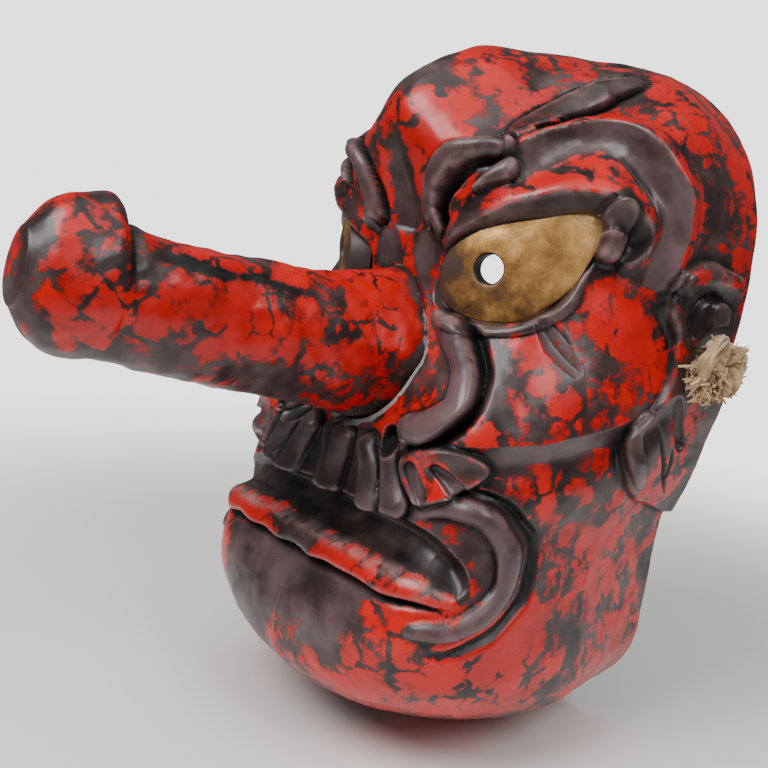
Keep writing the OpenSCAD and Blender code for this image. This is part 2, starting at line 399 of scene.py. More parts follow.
    def area(self, outline, height, edge, red=None, black_and_shade=None, rim_black_and_shade=0.0):
        """Raised or sunk field with a wall of the given width along its outline."""
        p = spline(outline, 6, closed=True)
        c = p.mean(0)
        n = outward(c)
        u = unit(np.cross([0, 0, 1.0], n))
        v = np.cross(n, u)
        at = self.near(p, 12)
        at = at[self.n[at] @ n > 0.3]
        q = np.stack([(self.q[at] - c) @ u, (self.q[at] - c) @ v], -1)
        a = np.stack([(p - c) @ u, (p - c) @ v], -1)
        b = np.roll(a, -1, 0)
        dist = np.full(len(at), 1e9)
        inside = np.zeros(len(at), bool)
        for s, e in zip(a, b):
            w = e - s
            t = np.clip(((q - s) @ w) / max(w @ w, 1e-9), 0, 1)
            dist = np.minimum(dist, np.linalg.norm(q - s - t[:, None] * w, axis=1))
            crosses = (s[1] > q[:, 1]) != (e[1] > q[:, 1])
            with np.errstate(divide="ignore", invalid="ignore"):
                x = s[0] + (q[:, 1] - s[1]) * (e[0] - s[0]) / (e[1] - s[1])
            inside ^= crosses & (q[:, 0] < x)
        sd = np.where(inside, dist, -dist)
        share = smooth(sd, -edge / 2, edge / 2)
        self.h[at] += height * share
        self.colour(at, share, red=red, black_and_shade=black_and_shade)
        # Painted shade, over black ground, along the foot of the field's wall.
        self.colour(at, np.exp(-((sd + 0.8) / 1.1) ** 2), black_and_shade=rim_black_and_shade)


def carve_brow(c):
    """Forehead, brow bands and the curl over the root of the nose."""
    # On the forehead, a dip beside the dome, then a lens with a crisp cut along its top.
    c.dome((0, -78, 132), 26, 3.5)
    c.groove([(27, -20, 140), (27, -60, 133), (30, -84, 118)], 4.0, 20, ends=(0.1, 0.5), black_and_shade=0.0, red=None)
    c.band([(45, -104, 92), (46, -90, 102), (48, -73, 112), (51, -58, 120), (54, -40, 127)],
           6.0, 7.5, ends=(0.5, 0.3), groove=1.5, red=0.4)
    c.groove([(43, -104, 96), (40, -89, 107), (41, -73, 117), (45, -56, 125), (49, -36, 133)],
             3.0, 2.0, ends=(0.3, 0.3), black_and_shade=0.9)
    # The long band sweeps over the brow and down to the ear. Its upper edge is crisp, with a hollow below.
    c.cove([(47, -104, 87), (52, -101, 90), (55, -89, 97), (61, -75, 102), (72, -68, 102), (85, -63, 96),
            (92, -58, 86), (95, -53, 76), (95, -51, 65), (94, -52, 53), (93, -53, 42)],
           7.0, 12, back=8, cut=2.5, ends=(0.06, 0.06), red=0.05)
    c.groove([(54, -96, 85), (62, -80, 90), (74, -73, 91), (83, -70, 86), (88, -66, 77), (90, -63, 68)],
             1.8, 2.0, ends=(0.2, 0.3), black_and_shade=0.8)
    # Curl over the root of the nose, with the leaf at its end and the deep cut inside it.
    c.band([(21, -112, 53), (22, -112, 57), (19, -114, 63), (21, -116, 71), (26, -118, 79), (33, -117, 85),
            (40, -113, 88), (46, -108, 89), (51, -105, 87)], 7, 5.2, ends=(0.12, 0.06), groove=1.5, red=0.0)
    c.groove([(28, -112, 57), (26, -114, 65), (28, -116, 72), (33, -116, 77), (39, -113, 80)],
             6, 3.2, ends=(0.1, 0.3))
    c.finger((52, -107, 81), (41, -114, 73), 5.0, 1.2, 5.0, dome=0.6, edge=0.25, red=0.05, black_and_shade=0.9)
    c.groove([(0, -114, 54), (0, -116, 66), (0, -118, 78), (0, -119, 96)],
             6, 13, ends=(0.1, 0.4), black_and_shade=0.35)


def carve_eye(c):
    """Lids, the recess for the gilt plate and the cut below it."""
    # The upper lid is a crisp edge over a hollow slope that ends in a volute.
    c.cove([(26, -112, 48), (35, -111, 53), (48, -110, 62), (59, -104, 69), (70, -94, 74), (79, -84, 75),
            (84, -77, 74), (88, -71, 70), (90, -66, 66), (90, -64, 61), (90, -65, 56), (87, -69, 51),
            (85, -75, 50)], 6.5, 8, back=8, cut=3.0, ends=(0.1, 0.1), red=0.0, black_and_shade=0.25)
    along = np.array([math.cos(EYE_TURN), math.sin(EYE_TURN), 0])
    up = np.array([0, 0, 1.0])
    outline = [np.array(EYE_AT) + x * 1.04 * along + z * 1.04 * up for x, z in EYE_POINTS]
    c.area(outline, -4, 3.5, red=0.0, black_and_shade=0.3)
    lower = [np.array(EYE_AT) + x * 1.1 * along + (z * 1.14 - 1) * up for x, z in EYE_POINTS[8:]]
    c.band(lower, 2.6, 3.2, ends=(0.2, 0.1), red=0.3)
    c.finger((84, -77, 67), (84, -80, 55), 8.0, 6.0, 8.0, dome=0.6, edge=0.35, red=0.0, black_and_shade=0.8)
    # Leaf-shaped cut below the outer half of the eye.
    c.band([(71, -100, 27), (80, -94, 16), (86, -88, 7)], -3.2, 5.2, ends=(0.45, 0.5), red=0.0)
    c.band([(75, -100, 26), (84, -93, 16), (88, -88, 8)], 1.6, 2.6, ends=(0.4, 0.4), red=0.3)


def carve_nostril(c):
    """Wing of the nostril, with the groove outside it and the small holes beside it."""
    c.band([(28, -114, 22), (39, -116, 19), (50, -118, 12), (57, -121, 6), (61, -124, -1), (63, -128, -10),
            (57, -132, -17), (46, -133, -22), (36, -133, -24)], 8, 6.4, ends=(0.15, 0.1), red=0.0)
    c.groove([(42, -114, 23), (56, -116, 16), (65, -119, 7), (70, -124, -3), (70, -128, -11),
              (64, -132, -21), (53, -133, -27)], 7, 4.4, ends=(0.25, 0.25))
    c.dome((33, -133, -30), 6.0, -9, edge=0.6, red=0.0, black_and_shade=1.0)
    c.dome((43, -134, -29), 3.4, 3.0, edge=0.9, red=0.0)
    c.dome((54, -127, -12), 1.0, -2.5, edge=0.9, black_and_shade=1.0)


def carve_mouth(c):
    """Hollow, lower lip and the fold round the corner."""
    # Smooth hollow between the moustache and the lower lip, deepest in the corner.
    c.channel([(-8, -140, -65), (20, -140, -65), (45, -140, -65), (66, -136, -67), (76, -131, -72),
               (80, -128, -79)], 9, 8.0, ends=(0, 0.3), red=0.0, black_and_shade=0.35)
    c.dome((74, -132, -74), 8, -4, edge=0.3, red=0.0, black_and_shade=0.6)
    # The lower lip is a red roll over a tight cut.
    c.band([(-8, -145, -77), (14, -145, -77), (40, -145, -77), (60, -142, -78), (73, -137, -80),
            (79, -131, -82)], 5.0, 5.4, ends=(0, 0.25), red=0.78)
    c.dome((0, -146, -78), 15, 0, red=0.12)
    c.groove([(-8, -147, -84), (20, -147, -84), (44, -147, -84), (66, -143, -85), (78, -135, -86)],
             4.0, 2.6, ends=(0, 0.2), black_and_shade=0.95)
    # Ring-shaped fold round the corner of the mouth.
    c.band([(55, -134, -53), (64, -132, -49), (72, -129, -47), (79, -123, -48), (83, -116, -54),
            (84, -110, -63), (85, -110, -75), (84, -117, -84), (82, -127, -90), (77, -137, -93),
            (68, -143, -94)], 5.0, 5.0, ends=(0.2, 0.25), red=0.1)
    c.groove([(71, -128, -40), (79, -121, -41), (86, -108, -50), (88, -101, -65), (88, -102, -81),
              (87, -113, -93), (83, -127, -101), (75, -139, -102)], 4.5, 4.2, ends=(0.25, 0.25), black_and_shade=0.9)


def carve_moustache(c):
    """Fan of lobes under the nose, the widest in the middle, and the wing at its end."""
    c.area([(-14, -133, -32), (20, -133, -32), (44, -133, -32), (50, -134, -50), (40, -136, -57),
            (20, -137, -58), (0, -138, -58), (-14, -138, -58)], 1.5, 5, red=0.2, black_and_shade=0.4)
    c.finger((3, -132, -34), (0, -136, -53), 6.5, 9.5, 6.5, dome=0.7, edge=0.14, red=0.02, black_and_shade=1.0)
    c.finger((20, -132, -34), (29, -135, -53), 5.4, 8.0, 6.0, dome=0.55, edge=0.14, red=0.02, black_and_shade=1.0)
    c.finger((34, -133, -33), (43, -134, -51), 5.2, 7.4, 6.0, dome=0.55, edge=0.14, red=0.02, black_and_shade=1.0)
    c.area([(43, -133, -33), (49, -134, -45), (55, -134, -50), (66, -131, -45), (75, -127, -39),
            (80, -123, -31), (74, -128, -26), (56, -133, -26)], 5, 2.4, red=0.62, rim_black_and_shade=0.9)
    c.finger((50, -134, -36), (57, -134, -46), 3.2, 4.0, -2.6, dome=0.4, edge=0.35, red=0.0)
    c.finger((61, -132, -34), (72, -129, -40), 2.4, 3.6, -2.4, dome=0.4, edge=0.35, red=0.0)


def carve_cheek_and_ear(c):
    """Edge of the cheek, and the ear with its folds, lobe and cracks."""
    # The cheek is full above this line and falls back below it.
    c.cove([(50, -133, -30), (58, -133, -28), (76, -126, -22), (85, -113, -21), (89, -96, -18),
            (91, -76, -13), (92, -58, -8), (92, -44, -1), (93, -34, 3)],
           2.0, 9, back=14, cut=3.0, ends=(0.1, 0.15), red=0.22)
    # The ear is a slab on the side of the head, cut flat with the rim at its back.
    c.area([(92, -44, 22), (92, -51, 32), (92, -53, 39), (93, -51, 47), (95, -42, 54), (97, -31, 56),
            (97, -16, 53), (96, -9, 46), (93, -6, 12), (88, 8, -20), (76, 8, -53), (76, -8, -54),
            (80, -26, -50), (87, -47, -41), (90, -60, -29), (91, -62, -18), (92, -54, -9), (92, -46, 0),
            (92, -42, 10)], 4.2, 3.6, red=0.4, rim_black_and_shade=0.5)
    c.band([(93, -42, 22), (93, -46, 34), (94, -44, 44), (96, -37, 49), (97, -28, 50), (97, -18, 47)],
           3.2, 4.4, ends=(0.2, 0.5), red=0.55)
    c.groove([(93, -34, 24), (94, -37, 34), (95, -33, 41), (97, -22, 43), (97, -8, 39)],
             4.0, 4.2, ends=(0.2, 0.1), black_and_shade=0.6)
    c.dome((97, -22, 34), 7.5, 4.0, edge=0.7, red=0.05)
    c.dome((86, -24, -38), 25, 0, red=0.95)
    c.band([(92, -50, -6), (91, -55, -14), (90, -54, -24), (88, -47, -32), (86, -40, -38)],
           5.0, 5.6, ends=(0.35, 0.45), red=0.03)
    c.finger((92, -34, -2), (88, -22, -20), 3.4, 4.4, -3.2, dome=0.6, edge=0.5, red=0.0)
    c.groove([(91, -42, -12), (88, -34, -24), (84, -24, -36), (81, -18, -44)],
             2.2, 1.7, ends=(0.2, 0.2), black_and_shade=1.0)
    c.groove([(90, -28, -22), (86, -24, -32), (84, -24, -36)], 2.0, 1.6, ends=(0.2, 0.1), black_and_shade=1.0)


def tint(c):
    """Broad patches where the lacquer is redder, or worn and burnished brown."""
    c.dome((20, -148, -98), 40, 0, red=0.12)
    c.dome((-30, -140, -110), 34, 0, red=0.1)
    c.dome((72, -80, -78), 34, 0, red=0.85)
    c.dome((50, -130, -120), 26, 0, red=0.8)
    c.dome((62, -118, 2), 24, 0, red=0.5)
    c.dome((84, -84, 12), 16, 0, red=0.45)
    c.dome((0, -60, 138), 26, 0, red=0.35)
    c.dome((4, -112, 124), 30, 0, red=0.36)
    c.dome((14, -118, 48), 14, 0, red=0.08)
    c.dome((88, -66, 2), 20, 0, red=0.42)
    c.dome((60, -110, -108), 34, 0, red=0.86)


def carve(c):
    """The whole left half, from the broad patches to the finest cuts."""
    tint(c)
    carve_cheek_and_ear(c)
    carve_brow(c)
    carve_eye(c)
    carve_nostril(c)
    carve_moustache(c)
    carve_mouth(c)


# ---- Finishes ----

def linear(code):
    """sRGB hex to linear."""
    values = [int(code[i:i + 2], 16) / 255 for i in (0, 2, 4)]
    return [v / 12.92 if v <= 0.04045 else ((v + 0.055) / 1.055) ** 2.4 for v in values]


def add(tree, kind, inputs=None, **settings):
    """A shader node with its settings. inputs are numbers, colours, or the sockets that feed it."""
    node = tree.nodes.new("ShaderNode" + kind)
    for key, value in settings.items():
        setattr(node, key, value)
    for key, value in (inputs or {}).items():
        if isinstance(value, bpy.types.NodeSocket):
            tree.links.new(value, node.inputs[key])
        else:
            node.inputs[key].default_value = value
    return node


def ramp_stops(ramp, stops):
    """Fills a colour ramp from (place, linear colour) pairs."""
    elements = ramp.color_ramp.elements
    while len(elements) < len(stops):
        elements.new(1.0)
    for element, (place, colour) in zip(elements, stops):
        element.position = place
        element.color = (*colour, 1)


def start_material(name):
    """New empty material, its tree and the place on the object, in metres."""
    material = bpy.data.materials.new(name)
    material.use_nodes = True
    tree = material.node_tree
    tree.nodes.clear()
    return material, tree, add(tree, "TexCoord").outputs["Object"]


def end_material(material, tree, surface):
    """The material with its surface joined up."""
    add(tree, "OutputMaterial", {"Surface": surface})
    return material


def rubbed_lacquer(colours):
    """Urushi lacquer, vermilion over black on carved wood, brushed thick and rubbed by age.

    The red breaks up in islands with black between them, raised work is polished to a dark brown that is
    partly painted sheen, and the whole has a soft gloss with depth.
    """
    material, tree, place = start_material("Urushi_lacquer_rubbed")
    drift = add(tree, "TexNoise", {"Vector": place, "Scale": pitch(22), "Detail": 3.0}).outputs["Color"]
    bent = add(tree, "VectorMath", {0: drift, 1: (0.011,) * 3, 2: place},
               operation="MULTIPLY_ADD").outputs[0]
    ragged = add(tree, "TexNoise", {"Vector": place, "Scale": pitch(4.5), "Detail": 4.0}).outputs["Color"]
    bent = add(tree, "VectorMath", {0: ragged, 1: (0.0045,) * 3, 2: bent},
               operation="MULTIPLY_ADD").outputs[0]
    patch = add(tree, "TexNoise", {"Vector": bent, "Scale": pitch(34), "Detail": 7.0,
                                   "Roughness": 0.66}).outputs[0]
    patch = add(tree, "Math", {0: patch, 1: 1.5}, operation="MULTIPLY").outputs[0]
    # Islands about 12 mm across, with cracks between them that come and go.
    island = add(tree, "TexVoronoi", {"Vector": bent, "Scale": pitch(12)}).outputs["Color"]
    crack = add(tree, "TexVoronoi", {"Vector": bent, "Scale": pitch(12)},
                feature="DISTANCE_TO_EDGE").outputs[0]
    crack = add(tree, "MapRange", {0: crack, 1: 0.015, 2: 0.13, 3: 1.0, 4: 0.0}).outputs[0]
    broken = add(tree, "TexNoise", {"Vector": place, "Scale": pitch(14), "Detail": 2.0}).outputs[0]
    broken = add(tree, "MapRange", {0: broken, 1: 0.42, 2: 0.62}).outputs[0]
    crack = add(tree, "Math", {0: crack, 1: broken}, operation="MULTIPLY").outputs[0]
    speck = add(tree, "TexNoise", {"Vector": bent, "Scale": pitch(3), "Detail": 6.0,
                                   "Roughness": 0.62}).outputs[0]
    red = add(tree, "Attribute", attribute_name="red").outputs["Fac"]
    black_and_shade = add(tree, "Attribute", attribute_name="black_and_shade").outputs["Fac"]
    seam = add(tree, "Attribute", attribute_name="seam").outputs["Fac"]
    shade = add(tree, "SeparateColor", {0: island}).outputs[0]
    # Small islands, 5 to 10 mm across, break up the broad patches.
    mottle = add(tree, "TexNoise", {"Vector": bent, "Scale": pitch(10), "Detail": 5.0,
                                    "Roughness": 0.55}).outputs[0]
    level = add(tree, "Math", {0: shade, 1: 0.08, 2: patch}, operation="MULTIPLY_ADD").outputs[0]
    level = add(tree, "Math", {0: mottle, 1: 0.75, 2: level}, operation="MULTIPLY_ADD").outputs[0]
    level = add(tree, "Math", {0: crack, 1: -0.3, 2: level}, operation="MULTIPLY_ADD").outputs[0]
    level = add(tree, "Math", {0: speck, 1: 0.34, 2: level}, operation="MULTIPLY_ADD").outputs[0]
    level = add(tree, "Math", {0: red, 1: 0.62, 2: level}, operation="MULTIPLY_ADD").outputs[0]
    # Cuts and hollows turn to the black ground, partly as painted shade.
    level = add(tree, "Math", {0: black_and_shade, 1: -0.45, 2: level}, operation="MULTIPLY_ADD").outputs[0]
    level = add(tree, "Math", {0: level, 1: 1.19}, operation="SUBTRACT").outputs[0]
    # The ground is near black between red islands, and burnished to a warm grey-brown on the raised work.
    # That grey-brown is partly painted sheen.
    burnish_and_sheen = add(tree, "TexNoise", {"Vector": bent, "Scale": pitch(20), "Detail": 6.0}).outputs[0]
    burnish_and_sheen = add(tree, "Math", {0: red, 1: -0.26, 2: burnish_and_sheen}, operation="MULTIPLY_ADD").outputs[0]
    burnish_and_sheen = add(tree, "Math", {0: black_and_shade, 1: -0.5, 2: burnish_and_sheen}, operation="MULTIPLY_ADD").outputs[0]
    ground = add(tree, "ValToRGB", {0: burnish_and_sheen})
    ramp_stops(ground, [(0.10, colours.black), (0.34, colours.brown), (0.58, colours.polished)])
    coat = add(tree, "ValToRGB", {0: level})
    ramp_stops(coat, [(0.43, colours.maroon), (0.58, colours.vermilion)])
    cover = add(tree, "MapRange", {0: level, 1: 0.415, 2: 0.50}).outputs[0]
    paint = add(tree, "Mix", {0: cover, 6: ground.outputs[0], 7: coat.outputs[0]}, data_type="RGBA")
    # Crisp ridges turn a paler grey-pink, partly rubbed wear and partly a painted highlight.
    worn = add(tree, "Attribute", attribute_name="worn").outputs["Fac"]
    patchy = add(tree, "TexNoise", {"Vector": place, "Scale": pitch(5), "Detail": 5.0}).outputs[0]
    patchy = add(tree, "MapRange", {0: patchy, 1: 0.35, 2: 0.6, 3: 0.1, 4: 0.8}).outputs[0]
    worn = add(tree, "Math", {0: worn, 1: patchy}, operation="MULTIPLY").outputs[0]
    paint = add(tree, "Mix", {0: worn, 6: paint.outputs[2], 7: (*colours.rubbed, 1)}, data_type="RGBA")
    tone = add(tree, "TexNoise", {"Vector": place, "Scale": pitch(18), "Detail": 3.0}).outputs[0]
    tone = add(tree, "MapRange", {0: tone, 1: 0.3, 2: 0.7, 3: 0.72, 4: 1.08}).outputs[0]
    # Painted shade: the paint darkens to about a fifth in the marked cuts and hollows.
    cut_shade = add(tree, "MapRange", {0: black_and_shade, 1: 0.0, 2: 1.0, 3: 1.0, 4: 0.22}).outputs[0]
    tone = add(tree, "Math", {0: tone, 1: cut_shade}, operation="MULTIPLY").outputs[0]
    paint = add(tree, "VectorMath", {0: paint.outputs[2], "Scale": tone}, operation="SCALE").outputs[0]
    # Grey putty round the root of the nose shows where the lacquer has chipped off the joint.
    chip = add(tree, "TexNoise", {"Vector": place, "Scale": pitch(6), "Detail": 4.0}).outputs[0]
    chip = add(tree, "Math", {0: seam, 1: chip}, operation="ADD").outputs[0]
    chip = add(tree, "MapRange", {0: chip, 1: 0.94, 2: 1.04}).outputs[0]
    paint = add(tree, "Mix", {0: chip, 6: paint, 7: (*colours.putty, 1)}, data_type="RGBA").outputs[2]
    layer = add(tree, "MapRange", {0: level, 1: 0.45, 2: 0.58}).outputs[0]
    grain = add(tree, "TexNoise", {"Vector": place, "Scale": pitch(2.2), "Detail": 5.0}).outputs[0]
    height = add(tree, "Math", {0: layer, 1: 0.5, 2: grain}, operation="MULTIPLY_ADD").outputs[0]
    bump = add(tree, "Bump", {"Strength": 0.35, "Distance": 0.00025, "Height": height}).outputs[0]
    gloss = add(tree, "TexNoise", {"Vector": place, "Scale": pitch(12), "Detail": 4.0}).outputs[0]
    gloss = add(tree, "MapRange", {0: gloss, 1: 0.3, 2: 0.7, 3: 0.24, 4: 0.46}).outputs[0]
    gloss = add(tree, "Math", {0: black_and_shade, 1: 0.3, 2: gloss}, operation="MULTIPLY_ADD").outputs[0]
    surface = add(tree, "BsdfPrincipled",
                  {"Base Color": paint, "Roughness": gloss, "Normal": bump, "IOR": 1.52,
                   "Specular IOR Level": 0.36, "Coat Weight": 0.16, "Coat Roughness": 0.14})
    return end_material(material, tree, surface.outputs[0])


def inner_lacquer(colours):
    """Thin black-brown urushi wiped over gouged wood. The hollow side is dull, with gouge marks in it."""
    material, tree, place = start_material("Urushi_lacquer_wiped")
    cloud = add(tree, "TexNoise", {"Vector": place, "Scale": pitch(25), "Detail": 5.0}).outputs[0]
    paint = add(tree, "ValToRGB", {0: cloud})
    ramp_stops(paint, [(0.35, colours.black), (0.6, colours.brown), (0.8, colours.maroon)])
    gouge = add(tree, "TexVoronoi", {"Vector": place, "Scale": pitch(11)}, feature="SMOOTH_F1").outputs[0]
    bump = add(tree, "Bump", {"Strength": 0.5, "Distance": 0.0012, "Height": gouge}).outputs[0]
    surface = add(tree, "BsdfPrincipled", {"Base Color": paint.outputs[0], "Roughness": 0.5, "Normal": bump,
                                           "IOR": 1.5})
    return end_material(material, tree, surface.outputs[0])


def bare_wood(colours):
    """Sawn paulownia, left bare inside the joint. Pale, dry and straight in the grain."""
    material, tree, place = start_material("Paulownia_sawn")
    # Growth rings about 5 mm apart. A wave texture's bands lie 2 pi / 20 / scale apart.
    wave = add(tree, "TexWave", {"Vector": place, "Scale": 63.694, "Distortion": 4.0, "Detail": 3.0},
               bands_direction="X").outputs[0]
    paint = add(tree, "ValToRGB", {0: wave})
    ramp_stops(paint, [(0.0, [v * 0.55 for v in colours.wood]), (0.7, colours.wood)])
    bump = add(tree, "Bump", {"Strength": 0.3, "Distance": 0.0003, "Height": wave}).outputs[0]
    surface = add(tree, "BsdfPrincipled", {"Base Color": paint.outputs[0], "Roughness": 0.75, "Normal": bump})
    return end_material(material, tree, surface.outputs[0])


def worn_gilt(colours):
    """Gold leaf on lacquer, laid in small sheets: browner round the sight hole, at the inner corner and
    below, brighter up and out.
    """
    material, tree, place = start_material("Gold_leaf_worn")
    drift = add(tree, "TexNoise", {"Vector": place, "Scale": pitch(10), "Detail": 4.0}).outputs["Color"]
    bent = add(tree, "VectorMath", {0: drift, 1: (0.006,) * 3, 2: place},
               operation="MULTIPLY_ADD").outputs[0]
    cloud = add(tree, "TexNoise", {"Vector": bent, "Scale": pitch(16), "Detail": 7.0,
                                   "Roughness": 0.66}).outputs[0]
    gilt_dimming = add(tree, "Attribute", attribute_name="gilt_dimming").outputs["Fac"]
    level = add(tree, "Math", {0: gilt_dimming, 1: -0.30, 2: cloud}, operation="MULTIPLY_ADD").outputs[0]
    paint = add(tree, "ValToRGB", {0: level})
    ramp_stops(paint, [(0.16, colours.brown), (0.30, colours.gilt_brown), (0.42, colours.gilt_dark),
                       (0.56, colours.gilt), (0.75, colours.gilt_light)])
    leaf = add(tree, "MapRange", {0: level, 1: 0.22, 2: 0.5, 3: 0.1, 4: 0.55}).outputs[0]
    rough = add(tree, "MapRange", {0: level, 1: 0.2, 2: 0.6, 3: 0.6, 4: 0.36}).outputs[0]
    crease = add(tree, "TexNoise", {"Vector": bent, "Scale": pitch(1.6), "Detail": 5.0}).outputs[0]
    bump = add(tree, "Bump", {"Strength": 0.4, "Distance": 0.0002, "Height": crease}).outputs[0]
    surface = add(tree, "BsdfPrincipled",
                  {"Base Color": paint.outputs[0], "Metallic": leaf, "Roughness": rough, "Normal": bump})
    return end_material(material, tree, surface.outputs[0])


def cotton(colours):
    """Undyed cotton, twisted and frayed. Matt and soft, with painted shade in the creases and a fibre sheen.
    """
    material, tree, place = start_material("Cotton_twisted")
    cloud = add(tree, "TexNoise", {"Vector": place, "Scale": pitch(6), "Detail": 5.0}).outputs[0]
    # Yarn fibres, drawn 0.5 mm across.
    fibre = add(tree, "TexNoise", {"Vector": place, "Scale": pitch(0.5), "Detail": 3.0}).outputs[0]
    level = add(tree, "Math", {0: fibre, 1: 0.5, 2: cloud}, operation="MULTIPLY_ADD").outputs[0]
    paint = add(tree, "ValToRGB", {0: level})
    ramp_stops(paint, [(0.55, colours.cotton_dark), (0.78, colours.cotton), (1.0, colours.cotton_light)])
    # Painted shade: the cotton darkens to about a third in the creases and where yarns leave the knot.
    crease_shade = add(tree, "Attribute", attribute_name="crease_shade").outputs["Fac"]
    crease_shade = add(tree, "MapRange", {0: crease_shade, 1: 0.0, 2: 1.0, 3: 1.0, 4: 0.35}).outputs[0]
    paint = add(tree, "VectorMath", {0: paint.outputs[0], "Scale": crease_shade}, operation="SCALE").outputs[0]
    bump = add(tree, "Bump", {"Strength": 0.6, "Distance": 0.0003, "Height": fibre}).outputs[0]
    surface = add(tree, "BsdfPrincipled", {"Base Color": paint, "Roughness": 0.9, "Normal": bump,
                                           "Sheen Weight": 0.35, "Sheen Roughness": 0.5,
                                           "Subsurface Weight": 0.1, "Subsurface Scale": 0.002})
    return end_material(material, tree, surface.outputs[0])


def pale_paper(colours):
    """Matt white background paper. It is even and has no gloss, and its far edge melts into the backdrop."""
    material, tree, place = start_material("Paper_matt")
    tooth = add(tree, "TexNoise", {"Vector": place, "Scale": pitch(4)}).outputs[0]
    bump = add(tree, "Bump", {"Strength": 0.05, "Distance": 0.0002, "Height": tooth}).outputs[0]
    level = add(tree, "VectorMath", {0: place, 1: (1.0, 1.0, 0.0)}, operation="MULTIPLY").outputs[0]
    away = add(tree, "VectorMath", {0: level}, operation="LENGTH").outputs["Value"]
    fade = add(tree, "MapRange", {0: away, 1: 0.28, 2: 0.80, 3: 1.0, 4: 0.0},
               interpolation_type="SMOOTHSTEP")
    surface = add(tree, "BsdfPrincipled",
                  {"Base Color": (*colours.paper, 1), "Roughness": 0.9, "Normal": bump,
                   "Alpha": fade.outputs[0]})
    return end_material(material, tree, surface.outputs[0])


def finish(name, maker):
    """The material of that name, made the first time it is asked for."""
    return bpy.data.materials.get(name) or maker(bpy.context.scene.mask_colours)


# ---- Pieces ----

def wobble(p, size, seed):
    """Smooth random waviness of about one unit, with bumps of that size."""
    rng = np.random.default_rng(seed)
    total = np.zeros(p.shape[:-1])
    for _ in range(14):
        wave = rng.normal(size=3)
        wave *= 2 * math.pi / (size * rng.uniform(0.7, 1.6)) / np.linalg.norm(wave)
        total += np.sin(p @ wave + rng.uniform(0, 2 * math.pi))
    return total / math.sqrt(7)


def blurred(h, rounds):
    """Heights of a grid, evened out that many times."""
    for _ in range(rounds):
        h = (h + np.vstack([h[:1], h[:-1]]) + np.vstack([h[1:], h[-1:]])) / 3
        h = (h + np.hstack([h[:, :1], h[:, :-1]]) + np.hstack([h[:, 1:], h[:, -1:]])) / 3
    return h


def nose_local(p):
    """Points in the nose's own frame: across, up and along it."""
    d = p - np.array(NOSE_SEAT)
    s, c = math.sin(NOSE_TILT), math.cos(NOSE_TILT)
    return np.stack([d[..., 0], d[..., 1] * s + d[..., 2] * c, -d[..., 1] * c + d[..., 2] * s], -1)


def nose_world(p):
    """Points from the nose's own frame to the mask's."""
    s, c = math.sin(NOSE_TILT), math.cos(NOSE_TILT)
    x, up, along = p[..., 0], p[..., 1], p[..., 2]
    return np.stack([x, up * s - along * c, up * c + along * s], -1) + np.array(NOSE_SEAT)


def nose_ring(station, t):
    """Outline of the nose at a station, at the angles t round its axis."""
    share, w, up, down = station
    v = np.sin(t) * np.where(np.sin(t) > 0, up, down)
    pinch = 1 - PINCH * max(0, 1 - share / PINCH_END) * np.maximum(0, v / up)
    return np.stack([w * np.cos(t) * pinch, v, np.full_like(t, share * NOSE_L)], -1)


def face_half(sizes, rings, half, seed):
    """One half of the outer face, with its marks. Both halves are carved as the left one."""
    b = np.linspace(-math.pi / 2, math.pi / 2, half)
    # Even steps over the finished form, but coarse ones where the nose covers it.
    a = np.linspace(0, 1, 200) * math.pi / 2
    alpha, beta = np.meshgrid(a, b, indexing="ij")
    q = plain_form(alpha, beta)
    q = q + pushed(q)
    covered = np.linalg.norm(nose_local(q)[..., :2], axis=-1)
    step = np.linalg.norm(np.diff(q, axis=0), axis=-1) * mix(0.25, 1.0, smooth(covered[1:], 18, 28))
    reach = np.vstack([np.zeros((1, half)), np.cumsum(step, 0)])
    share = np.linspace(0, 1, rings + 1)[1:]
    alpha = np.stack([np.interp(share * reach[-1, j], reach[:, j], a) for j in range(half)], 1)
    beta = np.broadcast_to(b, alpha.shape)
    q = plain_form(alpha, beta)
    q = (q + pushed(q)).reshape(-1, 3)
    # A hand-held chisel never runs quite true.
    waver = np.stack([wobble(q, 22, seed + i) for i in range(3)], -1) * sizes.waver / MM
    waver *= smooth(q[:, 0], 0, 12)[:, None]
    c = Carving(q + waver, 0.66)
    carve(c)
    h = c.h * sizes.relief
    grid = h.reshape(rings, half)
    hollow = (blurred(grid, max(3, rings // 32)) - grid).ravel()
    # Painted shade: the deeper a hollow in the carving, the darker it is marked.
    c.black_and_shade = np.maximum(c.black_and_shade * 0.85, np.clip(hollow / 2.2, 0, 1) * 0.8)
    # Painted highlight, partly real rubbing: the crisp ridges are marked for a paler colour.
    worn = np.clip(-hollow / 1.3 - 0.35, 0, 1)
    h = h + 0.22 * wobble(q, 24, seed + 5) + 0.05 * wobble(q, 7, seed + 6)
    n = outward(q)
    flat = unit(n * np.array([1, 0, 1]))
    n = unit(mix(flat, n, smooth(-q[:, 1], 0, 14)[:, None]))
    p = (q + n * h[:, None]).reshape(rings, half, 3)
    p[-1, :, 1] = -0.8
    local = nose_local(p.reshape(-1, 3))
    _, root_w, root_up, root_down = STATIONS[0]
    t = np.arctan2(local[:, 1] / np.where(local[:, 1] > 0, root_up, root_down), local[:, 0] / root_w)
    ring = nose_ring(STATIONS[0], t)
    gap = np.hypot(local[:, 0], local[:, 1]) - np.hypot(ring[:, 0], ring[:, 1]) * SEAT_FIT
    # Putty fills the joint, most of it below.
    seam = np.clip(1 - np.abs(gap - 0.8) / 4.0, 0, 1) * smooth(-np.sin(t), -0.55, 0.1) * 0.85
    return p, {"red": c.red, "black_and_shade": c.black_and_shade, "seam": seam, "worn": worn}


def mirrored(half, other):
    """Joins two halves into whole rings. The other half is turned over and its end columns are dropped."""
    return np.concatenate([half, other[:, -2:0:-1]], 1)


